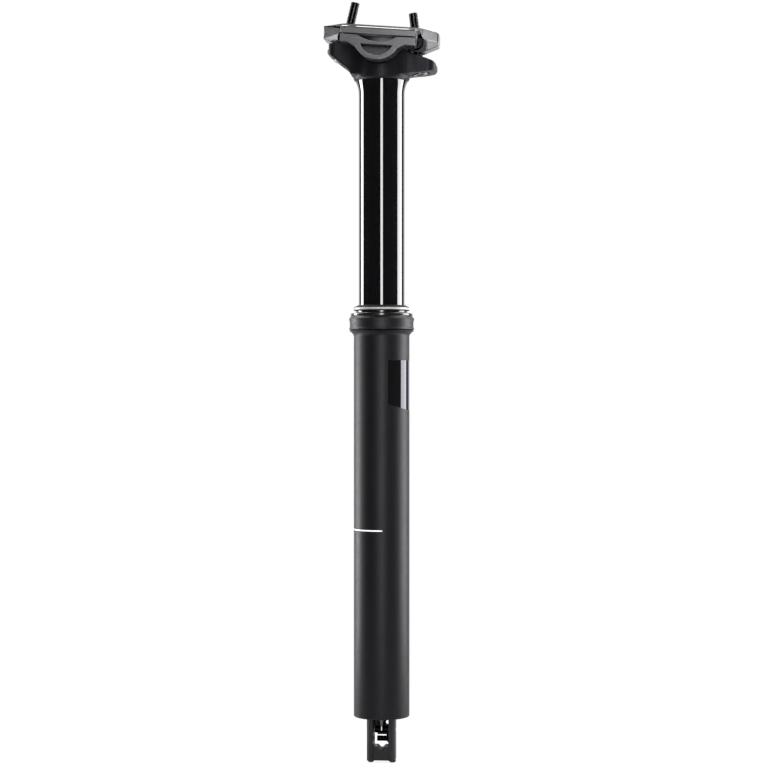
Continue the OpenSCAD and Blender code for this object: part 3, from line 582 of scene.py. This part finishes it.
class Finish(NodeTree):
    """A material under construction: its node tree and shader."""

    def __init__(self, name, base, roughness, metallic=0.0, specular=0.5):
        self.name = name
        self.material = bpy.data.materials.new(name)
        self.material.use_nodes = True
        super().__init__(self.material.node_tree)
        self.shader = self.tree.nodes["Principled BSDF"]
        self.shader.inputs["Base Color"].default_value = (*base, 1.0)
        self.shader.inputs["Roughness"].default_value = roughness
        self.shader.inputs["Metallic"].default_value = metallic
        self.shader.inputs["Specular IOR Level"].default_value = specular
        self.base = base
        self.roughness = roughness
        self.place = self.add("ShaderNodeTexCoord").outputs["Object"]

    def axes(self):
        """The three coordinates of a place on the surface."""
        split = self.add("ShaderNodeSeparateXYZ")
        self.link(self.place, split.inputs[0])
        return split.outputs

    def noise(self, size, detail, stretch=(1.0, 1.0, 1.0)):
        """Noise whose grains are this many metres across, stretched along an axis where that is over 1."""
        mapping = self.add("ShaderNodeMapping")
        mapping.inputs["Scale"].default_value = [1.0 / (size * s) for s in stretch]
        self.link(self.place, mapping.inputs["Vector"])
        texture = self.add("ShaderNodeTexNoise")
        texture.inputs["Scale"].default_value = 1.0
        texture.inputs["Detail"].default_value = detail
        self.link(mapping.outputs["Vector"], texture.inputs["Vector"])
        return texture.outputs["Fac"]

    def map_range(self, value, start, end, low=0.0, high=1.0):
        """Maps a number from one range to another."""
        node = self.add("ShaderNodeMapRange")
        for name, number in (("From Min", start), ("From Max", end), ("To Min", low), ("To Max", high)):
            node.inputs[name].default_value = number
        self.link(value, node.inputs["Value"])
        return node.outputs["Result"]

    def mix(self, factor, first, second, kind="RGBA"):
        """Mixes two colours, or two numbers where the kind is FLOAT."""
        node = self.add("ShaderNodeMix", data_type=kind)
        self.link(factor, node.inputs["Factor"])
        values, result = MIX_SOCKETS[kind]
        for index, value in zip(values, (first, second)):
            self.link(value, node.inputs[index])
        return node.outputs[result]

    def mottle(self, size, amount):
        """Slight change of tone over the surface."""
        tone = self.map_range(self.noise(size, detail=4.0), *NOISE_MIDDLE)
        dark = [channel * (1.0 - amount) for channel in self.base]
        light = [channel * (1.0 + amount) for channel in self.base]
        self.tone = self.mix(tone, dark, light)
        self.link(self.tone, self.shader.inputs["Base Color"])

    def vary(self, size, amount, stretch=(1.0, 1.0, 1.0)):
        """Slight change of roughness over the surface."""
        grain = self.noise(size, 3.0, stretch)
        smoothest = max(0.0, self.roughness - amount)
        self.rough = self.map_range(grain, *NOISE_MIDDLE, smoothest, self.roughness + amount)
        self.link(self.rough, self.shader.inputs["Roughness"])

    def bump(self, size, depth, strength, stretch=(1.0, 1.0, 1.0)):
        """Fine relief of this grain and depth."""
        self.relief = self.add("ShaderNodeBump")
        self.relief.inputs["Distance"].default_value = depth
        self.relief.inputs["Strength"].default_value = strength
        self.link(self.noise(size, 2.0, stretch), self.relief.inputs["Height"])
        self.link(self.relief.outputs["Normal"], self.shader.inputs["Normal"])


def blasted(name, base, roughness, specular, cast, relief=BLAST_RELIEF):
    """Anodised over a blasted surface: fine even grain, slight mottling."""
    finish = Finish(name, base, roughness, specular=specular)
    finish.shader.inputs["Specular Tint"].default_value = (*cast, 1.0)
    finish.mottle(size=4.0 * MM, amount=0.10)
    finish.vary(size=1.6 * MM, amount=0.05)
    finish.bump(size=0.35 * MM, depth=0.03 * MM, strength=relief)
    return finish


def turned_metal(name, base, roughness, edge=1.0):
    """Turned or ground metal: fine rings round the axis, and darker towards its rim for an edge under 1."""
    finish = Finish(name, base, roughness, metallic=1.0)
    finish.shader.inputs["Specular Tint"].default_value = (edge, edge, edge, 1.0)
    rings = (12.0, 12.0, 1.0)
    finish.mottle(size=3.0 * MM, amount=0.06)
    finish.vary(size=0.25 * MM, amount=0.06, stretch=rings)
    finish.bump(size=0.12 * MM, depth=0.004 * MM, strength=0.25, stretch=rings)
    return finish


def machined(name, base, roughness, painted_shade=None):
    """Milled and anodised metal with faint marks along the rails.

    Where a painted shade is given, what lies deeper than the cradle's sides takes it: painted shade in the
    pockets.
    """
    finish = Finish(name, base, roughness, metallic=0.5)
    finish.mottle(size=5.0 * MM, amount=0.05)
    finish.vary(size=0.5 * MM, amount=0.02, stretch=(14.0, 1.0, 1.0))
    # Painted shade: from 0.6 mm inside the cradle's sides the colour fades to the shade colour, fully at 3 mm
    # deep
    if painted_shade:
        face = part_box("lower_cradle")[1].y
        rim = face - 0.6 * MM
        bottom = face - 3.0 * MM
        side = finish.math("ABSOLUTE", finish.axes()[1])
        tone = finish.mix(finish.map_range(side, rim, bottom), finish.tone, painted_shade)
        finish.link(tone, finish.shader.inputs["Base Color"])
    return finish


def moulded(name, base, roughness, specular=0.5):
    """Moulded rubber or plastic."""
    finish = Finish(name, base, roughness, specular=specular)
    finish.mottle(size=3.0 * MM, amount=0.15)
    finish.vary(size=1.2 * MM, amount=0.06)
    finish.bump(size=0.5 * MM, depth=0.01 * MM, strength=0.2)
    return finish


def polished(name, base, roughness, specular):
    """Polished surface with faint lapping marks round it."""
    finish = Finish(name, base, roughness, specular=specular)
    finish.mottle(size=6.0 * MM, amount=0.08)
    finish.vary(size=1.5 * MM, amount=0.012, stretch=(6.0, 6.0, 1.0))
    return finish


def marked_tube(looks):
    """The outer tube's charcoal with its insertion mark and its gloss panel on the front."""
    finish = blasted("tube_charcoal", looks.charcoal, roughness=0.44, specular=0.15, cast=looks.charcoal_cast)
    panel_mirror = 0.9
    panel_roughness = 0.04
    across, side, height = finish.axes()
    turn = finish.math("ARCTAN2", across, finish.math("ABSOLUTE", side))
    line = finish.math("COMPARE", height, looks.mark_height, looks.mark_width / 2)
    rearward = finish.math("LESS_THAN", turn, looks.mark_end)
    mark = finish.math("MULTIPLY", line, rearward)
    under_top = finish.math("LESS_THAN", height, looks.panel_top)
    end_across = TUBE_RADIUS * math.sin(looks.panel_end)
    fall = finish.math("MULTIPLY", finish.math("SUBTRACT", across, end_across), looks.panel_drop)
    low_edge = finish.math("SUBTRACT", looks.panel_low, fall)
    over_low = finish.math("GREATER_THAN", height, low_edge)
    frontward = finish.math("GREATER_THAN", turn, looks.panel_end)
    panel = finish.math("MULTIPLY", finish.math("MULTIPLY", under_top, over_low), frontward)
    tone = finish.mix(panel, finish.tone, looks.panel_black)
    tone = finish.mix(mark, tone, looks.mark_white)
    finish.link(tone, finish.shader.inputs["Base Color"])
    finish.link(finish.math("MULTIPLY", panel, panel_mirror), finish.shader.inputs["Metallic"])
    rough = finish.mix(panel, finish.rough, panel_roughness, "FLOAT")
    finish.link(rough, finish.shader.inputs["Roughness"])
    plain = finish.math("SUBTRACT", 1.0, panel)
    finish.link(finish.math("MULTIPLY", plain, BLAST_RELIEF), finish.relief.inputs["Strength"])
    return finish


def make_finishes(looks):
    """All the materials by the name of their slot, and those that only new pieces use."""
    cast = looks.charcoal_cast
    made = (
        marked_tube(looks),
        blasted("collar_charcoal", looks.charcoal, roughness=0.44, specular=0.19, cast=cast),
        blasted("head_matt", looks.head_black, roughness=0.42, specular=0.10, cast=cast, relief=0.4),
        blasted("actuator_black", looks.actuator_black, roughness=0.42, specular=0.14, cast=cast, relief=0.3),
        polished("stanchion_gloss", looks.gloss_black, roughness=0.035, specular=0.62),
        # The cradle gets painted shade in its pockets
        machined("cradle_grey", looks.cradle_grey, roughness=0.26, painted_shade=looks.painted_pocket_shade),
        machined("clamp_grey", looks.clamp_grey, roughness=0.25),
        turned_metal("black_steel", looks.bolt_black, roughness=0.22, edge=0.05),
        turned_metal("nut_steel", looks.nut_black, roughness=0.34, edge=0.3),
        turned_metal("plain_steel", looks.plain_steel, roughness=0.32),
        turned_metal("bright_wire", looks.bright_steel, roughness=0.14),
        turned_metal("cartridge_alloy", looks.turned_alloy, roughness=0.3),
        turned_metal("key_brass", looks.brass, roughness=0.3),
        moulded("ring_satin", looks.ring_silver, roughness=0.42),
        moulded("bushing_liner", looks.liner, roughness=0.55),
        moulded("seal_rubber", looks.rubber, roughness=0.16),
        moulded("lip_rubber", looks.rubber, roughness=0.6, specular=0.1),
    )
    return {finish.name: finish.material for finish in made}


def finishes():
    """The materials by name, made once."""
    if not FINISHES:
        FINISHES.update(make_finishes(bpy.context.scene.seatpost_finishes))
    return FINISHES


# Pieces


class SEATPOST_OT_inner(bpy.types.Operator):
    """Give the frame's own pieces that still show, and those inside, their finishes"""

    bl_idname = "seatpost.inner"
    bl_label = "Inner pieces"

    def execute(self, context):
        slots = {row["node"]: row["material_slot"] for row in frame["record"]["subparts"]}
        slots["cable_barrel"] = "nut_steel"
        for node, piece in NODES.items():
            piece.data.materials.clear()
            piece.data.materials.append(finishes()[slots[node]])
        return {"FINISHED"}


class SEATPOST_OT_tube(bpy.types.Operator):
    """Model the outer tube with its flared shoulder"""

    bl_idname = "seatpost.tube"
    bl_label = "Outer tube"

    def execute(self, context):
        sizes = context.scene.seatpost_sizes
        low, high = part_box("outer_tube")
        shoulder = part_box("collar_cap")[0].z
        bore = sizes.tube_bore / 2
        chamfer = sizes.tube_chamfer
        rim = 0.25 * MM
        points = [(bore, low.z + chamfer), (bore + chamfer / 2, low.z)]
        points += arc((TUBE_RADIUS - chamfer, low.z + chamfer), chamfer, -90.0, 0.0)
        points += flare(TUBE_RADIUS, high.x, 0.0, shoulder - rim, power=2.0)
        points += [(high.x - rim, shoulder), (TUBE_RADIUS, shoulder)]
        points += [(TUBE_RADIUS, high.z), (bore, high.z)]
        piece = turned("tube_shell", points, sizes.turns)
        settle(piece, "outer_tube", "tube_charcoal")
        return {"FINISHED"}


class SEATPOST_OT_collar(bpy.types.Operator):
    """Model the collar cap with its two round beads"""

    bl_idname = "seatpost.collar"
    bl_label = "Collar"

    def execute(self, context):
        sizes = context.scene.seatpost_sizes
        low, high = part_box("collar_cap")
        neck = sizes.neck_diameter / 2 - 0.5 * MM
        bore = TUBE_RADIUS + 0.05 * MM
        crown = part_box("outer_tube")[1].x - sizes.collar_edge
        bead = high.x
        waist = bead - sizes.bead_height
        edge = 0.45 * MM
        bead_round = 0.9 * MM
        low_bead = low.z + 0.85 * MM
        low_ease = waist + 0.06 * MM
        waist_low = low.z + 2.1 * MM
        high_bead = high.z - 1.9 * MM
        waist_high = high_bead - 2.0 * MM
        high_ease = waist + 0.12 * MM
        ease_top = high_bead - 1.1 * MM
        lid = high.z - 1.4 * MM
        points = [(bore, low.z), (bead - 2 * edge, low.z)]
        points += arc((bead - edge, low_bead), edge, -60.0, 25.0)
        points += [(low_ease, waist_low - edge), (waist, waist_low)]
        points += [(waist, waist_high), (high_ease, ease_top)]
        points += arc((bead - bead_round, high_bead), bead_round, -20.0, 50.0)
        points += arc((crown - edge, high.z - edge), edge, 15.0, 90.0)
        points += [(neck, high.z), (neck, lid), (bore, lid)]
        piece = turned("collar", points, sizes.turns)
        settle(piece, "collar_cap", "tube_charcoal", "collar_charcoal")
        return {"FINISHED"}


class SEATPOST_OT_wiper(bpy.types.Operator):
    """Model the wiper with its flange, neck and lips, and the ring round it"""

    bl_idname = "seatpost.wiper"
    bl_label = "Wiper"

    def execute(self, context):
        sizes = context.scene.seatpost_sizes
        low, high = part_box("wiper_seal")
        cap_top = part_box("collar_cap")[1].z
        ring_low, ring_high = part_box("wiper_ring")
        ring_radius = ring_high.x
        band_low = ring_low.z - sizes.ring_drop
        band_high = band_low + sizes.ring_band
        bore = sizes.stanchion_diameter / 2 + 0.05 * MM
        neck = sizes.neck_diameter / 2
        foot = neck - 0.55 * MM
        seat = neck - 0.15 * MM
        brim = high.x
        brim_top = cap_top + sizes.wiper_flange
        brim_round = 0.6 * MM
        brim_edge = 0.2 * MM
        lip_radius = ring_radius - 0.1 * MM
        lip_low = band_low - sizes.ring_lip
        lip_high = band_high + sizes.ring_lip
        lip_edge = 0.1 * MM
        neck_top = lip_low - 0.2 * MM
        over_neck = lip_low - 0.15 * MM
        mouth = 0.35 * MM
        mouth_radius = bore + 0.55 * MM
        mouth_low = high.z - 0.5 * MM
        points = [(bore, low.z), (foot, low.z), (foot, cap_top), (brim - brim_edge, cap_top)]
        points += arc((brim - brim_edge, cap_top + brim_edge), brim_edge, -60.0, 0.0, 3)
        points += arc((brim - brim_round, brim_top - brim_round), brim_round, 0.0, 90.0)
        points += arc((neck + brim_round, brim_top + brim_round), brim_round, 270.0, 180.0)
        points += [(neck, neck_top), (lip_radius - lip_edge, lip_low)]
        points += [(lip_radius, lip_low + lip_edge), (lip_radius, band_low), (seat, band_low)]
        points += [(seat, band_high), (lip_radius, band_high), (lip_radius, lip_high - lip_edge)]
        points += [(lip_radius - lip_edge, lip_high)]
        points += arc((mouth_radius, high.z - mouth), mouth, 10.0, 120.0)
        points += [(bore, mouth_low)]
        piece = turned("wiper", points, sizes.turns)
        settle(piece, "wiper_seal", "seal_rubber")
        lips = [face.index for face in piece.data.polygons if face.center.z > over_neck]
        second_finish(piece, "lip_rubber", lips)
        band_edge = 0.15 * MM
        points = [(seat, band_low), (ring_radius - band_edge, band_low), (ring_radius, band_low + band_edge)]
        points += [(ring_radius, band_high - band_edge), (ring_radius - band_edge, band_high)]
        points += [(seat, band_high)]
        ring = turned("wiper_band", points, sizes.turns)
        settle(ring, "wiper_ring", "bright_wire", "ring_satin")
        return {"FINISHED"}


class SEATPOST_OT_stanchion(bpy.types.Operator):
    """Model the polished stanchion with its flare"""

    bl_idname = "seatpost.stanchion"
    bl_label = "Stanchion"

    def execute(self, context):
        sizes = context.scene.seatpost_sizes
        low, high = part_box("stanchion")
        radius = sizes.stanchion_diameter / 2
        bore = radius - sizes.stanchion_wall
        chamfer = 0.4 * MM
        points = [(bore, low.z), (radius - chamfer, low.z), (radius, low.z + chamfer)]
        points += flare(radius, high.x, high.z - sizes.flare_height, high.z, power=2.4, steps=24)
        points += [(bore, high.z)]
        piece = turned("stanchion_tube", points, sizes.turns)
        settle(piece, "stanchion", "stanchion_gloss")
        return {"FINISHED"}


class SEATPOST_OT_forgings(bpy.types.Operator):
    """Round over the head, arch and bevel the cradle, and plane and bevel the upper clamp"""

    bl_idname = "seatpost.forgings"
    bl_label = "Head and clamp"

    def execute(self, context):
        sizes = context.scene.seatpost_sizes
        head = rounded_copy("forged_head", "post_head", sizes.forged_voxel, passes=8)
        settle(head, "post_head", "head_matt")
        cradle = merged_copy("cradle", "lower_cradle")
        arched(cradle, sizes)
        bevelled(cradle, "lower_cradle", sizes.clamp_bevel)
        settle(cradle, "lower_cradle", "cradle_grey")
        clamp = merged_copy("rail_clamp", "upper_clamp")
        shave(clamp, TAPER_CORNER, sizes.arm_taper, tilt=0.0, along=1.0)
        shave(clamp, KEEL_CORNER, sizes.keel_turn, sizes.keel_tilt, along=1.0)
        shave(clamp, FRONT_TIP, sizes.tip_turn, tilt=0.0, along=1.0)
        shave(clamp, REAR_TIP, -sizes.tip_turn, tilt=0.0, along=-1.0)
        bevelled(clamp, "upper_clamp", sizes.clamp_bevel)
        settle(clamp, "upper_clamp", "clamp_grey")
        return {"FINISHED"}


class SEATPOST_OT_bolts(bpy.types.Operator):
    """Model the two threaded clamp bolts"""

    bl_idname = "seatpost.bolts"
    bl_label = "Clamp bolts"

    def execute(self, context):
        sizes = context.scene.seatpost_sizes
        rear, head_faces = clamp_bolt("rear_bolt", sizes)
        front = rear.copy()
        front.data = rear.data.copy()
        front.name = "front_bolt"
        context.scene.collection.objects.link(front)
        places = ((rear, "rear_nut_turn", sizes.rear_lean, sizes.rear_seat, sizes.bolt_offset),
                  (front, "front_nut_turn", sizes.front_lean, sizes.front_seat, -sizes.bolt_offset))
        for piece, joint, lean, seat, offset in places:
            centre = Matrix.Translation(Vector(JOINTS[joint]["pos_m"]))
            inward = Matrix.Translation(Vector((offset, 0.0, -seat)))
            place(piece, centre @ Matrix.Rotation(lean, 4, "Y") @ inward)
            settle(piece, "clamp_bolts", "black_steel")
            second_finish(piece, "plain_steel", head_faces)
        return {"FINISHED"}


class SEATPOST_OT_nuts(bpy.types.Operator):
    """Model the two barrel nuts with their cross holes"""

    bl_idname = "seatpost.nuts"
    bl_label = "Barrel nuts"

    def execute(self, context):
        sizes = context.scene.seatpost_sizes
        edge = 0.5 * MM
        nuts = (("rear_barrel", "rear_nut", "rear_nut_turn", sizes.rear_lean),
                ("front_barrel", "front_nut", "front_nut_turn", sizes.front_lean))
        for name, node, joint, lean in nuts:
            low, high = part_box(node)
            radius = (high.x - low.x) / 2
            half = (high.y - low.y) / 2
            points = [(0.0, -half)] + arc((radius - edge, -half + edge), edge, -90.0, 0.0)
            points += arc((radius - edge, half - edge), edge, 0.0, 90.0) + [(0.0, half)]
            nut = turned(name, points, steps=64)
            place(nut, Matrix.Rotation(math.pi / 2, 4, "X"))
            hole = cylinder("hole", sizes.nut_hole / 2, -2 * radius, 2 * radius, sides=48)
            combine(nut, hole, "DIFFERENCE")
            centre = Matrix.Translation(Vector(JOINTS[joint]["pos_m"]))
            place(nut, centre @ Matrix.Rotation(lean, 4, "Y"))
            smooth(nut)
            settle(nut, node, "black_steel", "nut_steel")
        return {"FINISHED"}


class SEATPOST_OT_actuator(bpy.types.Operator):
    """Round over the yoke, the cable stop and the lever"""

    bl_idname = "seatpost.actuator"
    bl_label = "Actuator"

    def execute(self, context):
        voxel = context.scene.seatpost_sizes.small_voxel
        rounded = (("yoke", "actuator_yoke", "actuator_black", "actuator_black"),
                   ("cable_stop", "housing_stop", "actuator_black", "actuator_black"),
                   ("lever_plate", "release_lever", "black_steel", "nut_steel"))
        for name, node, slot, finish in rounded:
            piece = rounded_copy(name, node, voxel, passes=3)
            settle(piece, node, slot, finish)
        return {"FINISHED"}


# Stage


def stage_finish(name, level):
    """A plain dull grey of the stage."""
    return Finish(name, (level, level, level), roughness=0.9, specular=0.0)


def make_world(stage):
    """White where it is seen, soft grey light elsewhere."""
    world = bpy.data.worlds.new("studio")
    bpy.context.scene.world = world
    world.use_nodes = True
    nodes = NodeTree(world.node_tree)
    soft = world.node_tree.nodes["Background"]
    white = nodes.add("ShaderNodeBackground")
    for light, strength in ((soft, stage.world_level), (white, 1.0)):
        light.inputs["Color"].default_value = (1.0, 1.0, 1.0, 1.0)
        light.inputs["Strength"].default_value = strength
    nodes.mix_shaders(nodes.seen_rays(), soft, white, "World Output")


def make_floor(stage):
    """A pale floor just under the feet, plain white away from the post."""
    gap = 0.3 * MM
    deselect()
    bpy.ops.mesh.primitive_circle_add(vertices=96, radius=stage.floor_radius, fill_type="NGON",
                                      location=(0.0, 0.0, CAD_BOX[0].z - gap))
    floor = bpy.context.object
    floor.name = "floor"
    finish = stage_finish("floor_white", 0.86)
    glow = finish.add("ShaderNodeEmission")
    glow.inputs["Strength"].default_value = 1.0
    reach = finish.add("ShaderNodeVectorMath", operation="LENGTH")
    finish.link(finish.place, reach.inputs[0])
    fade = finish.add("ShaderNodeMapRange", interpolation_type="SMOOTHSTEP")
    fade.inputs["From Max"].default_value = stage.floor_fade
    fade.inputs["To Min"].default_value = stage.floor_glow
    finish.link(reach.outputs["Value"], fade.inputs["Value"])
    amount = finish.math("MULTIPLY", fade.outputs["Result"], finish.seen_rays())
    finish.mix_shaders(amount, finish.shader, glow, "Material Output")
    floor.data.materials.append(finish.material)


def around(stage, turn, distance, height):
    """A place round the post, its turn counted from the camera towards the right."""
    total = stage.camera_azimuth + turn
    return Vector((distance * math.sin(total), -distance * math.cos(total), height))


def make_curtain(stage):
    """A dark curtain that only reflections see, open behind the post where the white backdrop is."""
    half = stage.curtain_half
    top = 0.75 * stage.light_height
    drop = 1.5 * stage.light_height
    curtain = single_point("curtain", around(stage, -half, stage.curtain_radius, -top))
    bpy.ops.mesh.extrude_vertices_move(TRANSFORM_OT_translate={"value": (0.0, 0.0, drop)})
    bpy.ops.mesh.select_all(action="SELECT")
    bpy.ops.mesh.spin(steps=40, angle=-2 * half, center=(0.0, 0.0, 0.0), axis=(0.0, 0.0, 1.0))
    bpy.ops.object.mode_set(mode="OBJECT")
    deselect()
    bpy.ops.mesh.primitive_circle_add(vertices=64, radius=stage.curtain_radius, fill_type="NGON",
                                      location=(0.0, 0.0, top))
    ceiling = bpy.context.object
    ceiling.name = "ceiling"
    black = stage_finish("curtain_black", 0.01)
    for cloth in (curtain, ceiling):
        cloth.data.materials.append(black.material)
        cloth.visible_camera = False
        cloth.visible_diffuse = False
        cloth.visible_shadow = False


def soft_box(name, width, height, radiance, location, target):
    """A rectangular light that faces a target and isn't seen itself."""
    light = bpy.data.lights.new(name, "AREA")
    light.shape = "RECTANGLE"
    light.size = width
    light.size_y = height
    light.energy = radiance * math.pi * width * height
    lamp = bpy.data.objects.new(name, light)
    bpy.context.scene.collection.objects.link(lamp)
    lamp.location = location
    aim = target - lamp.location
    lamp.rotation_euler = aim.to_track_quat("-Z", "Y").to_euler()
    lamp.visible_camera = False


def make_lights(stage):
    """Tall boxes at both sides, a strip in front, and a box behind and above for what faces up."""
    near = stage.light_distance
    middle = Vector((0.0, 0.0, stage.camera_height))
    # Name, turn in degrees, width in millimetres, radiance, distance
    strips = (("left_box", -115.0, 340.0, 18.0, near),
              ("right_box", 104.0, 620.0, 12.3, near),
              ("front_strip", 0.0, 255.0, 15.5, 1.3 * near))
    for name, turn, width, radiance, distance in strips:
        location = around(stage, math.radians(turn), distance, stage.camera_height)
        soft_box(name, width * MM, stage.light_height, radiance, location, middle)
    behind = around(stage, math.pi, distance=2400.0 * MM, height=1250.0 * MM)
    top = Vector((0.0, 0.0, CAD_BOX[1].z))
    soft_box("back_box", width=2400.0 * MM, height=1300.0 * MM, radiance=2.2, location=behind, target=top)


def make_camera(stage):
    """A level camera at the photograph's viewing angle."""
    data = bpy.data.cameras.new("camera")
    data.sensor_width = 36.0
    data.lens = data.sensor_width * stage.focal_pixels / stage.image_pixels
    data.clip_end = 50.0
    data.shift_x = stage.camera_shift
    camera = bpy.data.objects.new("camera", data)
    bpy.context.scene.collection.objects.link(camera)
    camera.location = around(stage, 0.0, stage.camera_distance, stage.camera_height)
    camera.rotation_euler = (math.pi / 2, 0.0, stage.camera_azimuth)
    bpy.context.scene.camera = camera


class SEATPOST_OT_stage(bpy.types.Operator):
    """Set up the camera, floor, curtain and lights"""

    bl_idname = "seatpost.stage"
    bl_label = "Stage"

    def execute(self, context):
        stage = context.scene.seatpost_stage
        context.scene.view_settings.view_transform = "Standard"
        make_camera(stage)
        make_world(stage)
        make_floor(stage)
        make_curtain(stage)
        make_lights(stage)
        return {"FINISHED"}


# Add-on


PIECES = (SEATPOST_OT_inner, SEATPOST_OT_tube, SEATPOST_OT_collar, SEATPOST_OT_wiper, SEATPOST_OT_stanchion,
          SEATPOST_OT_forgings, SEATPOST_OT_bolts, SEATPOST_OT_nuts, SEATPOST_OT_actuator)


class SEATPOST_PT_panel(bpy.types.Panel):
    """Lists the seatpost's pieces and its stage"""

    bl_idname = "SEATPOST_PT_panel"
    bl_label = "Dropper Seatpost"
    bl_space_type = "VIEW_3D"
    bl_region_type = "UI"
    bl_category = "Seatpost"

    def draw(self, context):
        for maker in (*PIECES, SEATPOST_OT_stage):
            self.layout.operator(maker.bl_idname)


CLASSES = (SeatpostSizes, SeatpostFinishes, SeatpostStage, *PIECES, SEATPOST_OT_stage, SEATPOST_PT_panel)


def register():
    """Registers the classes and hangs the settings on the scene."""
    for cls in CLASSES:
        bpy.utils.register_class(cls)
    bpy.types.Scene.seatpost_sizes = PointerProperty(type=SeatpostSizes)
    bpy.types.Scene.seatpost_finishes = PointerProperty(type=SeatpostFinishes)
    bpy.types.Scene.seatpost_stage = PointerProperty(type=SeatpostStage)


def unregister():
    """Takes the settings and the classes away again."""
    del bpy.types.Scene.seatpost_stage
    del bpy.types.Scene.seatpost_finishes
    del bpy.types.Scene.seatpost_sizes
    for cls in reversed(CLASSES):
        bpy.utils.unregister_class(cls)


def main():
    """Makes the pieces and the stage."""
    register()
    bpy.ops.seatpost.stage()
    bpy.ops.seatpost.inner()
    bpy.ops.seatpost.tube()
    bpy.ops.seatpost.collar()
    bpy.ops.seatpost.wiper()
    bpy.ops.seatpost.stanchion()
    bpy.ops.seatpost.forgings()
    bpy.ops.seatpost.bolts()
    bpy.ops.seatpost.nuts()
    bpy.ops.seatpost.actuator()


if __name__ == "__main__":
    main()
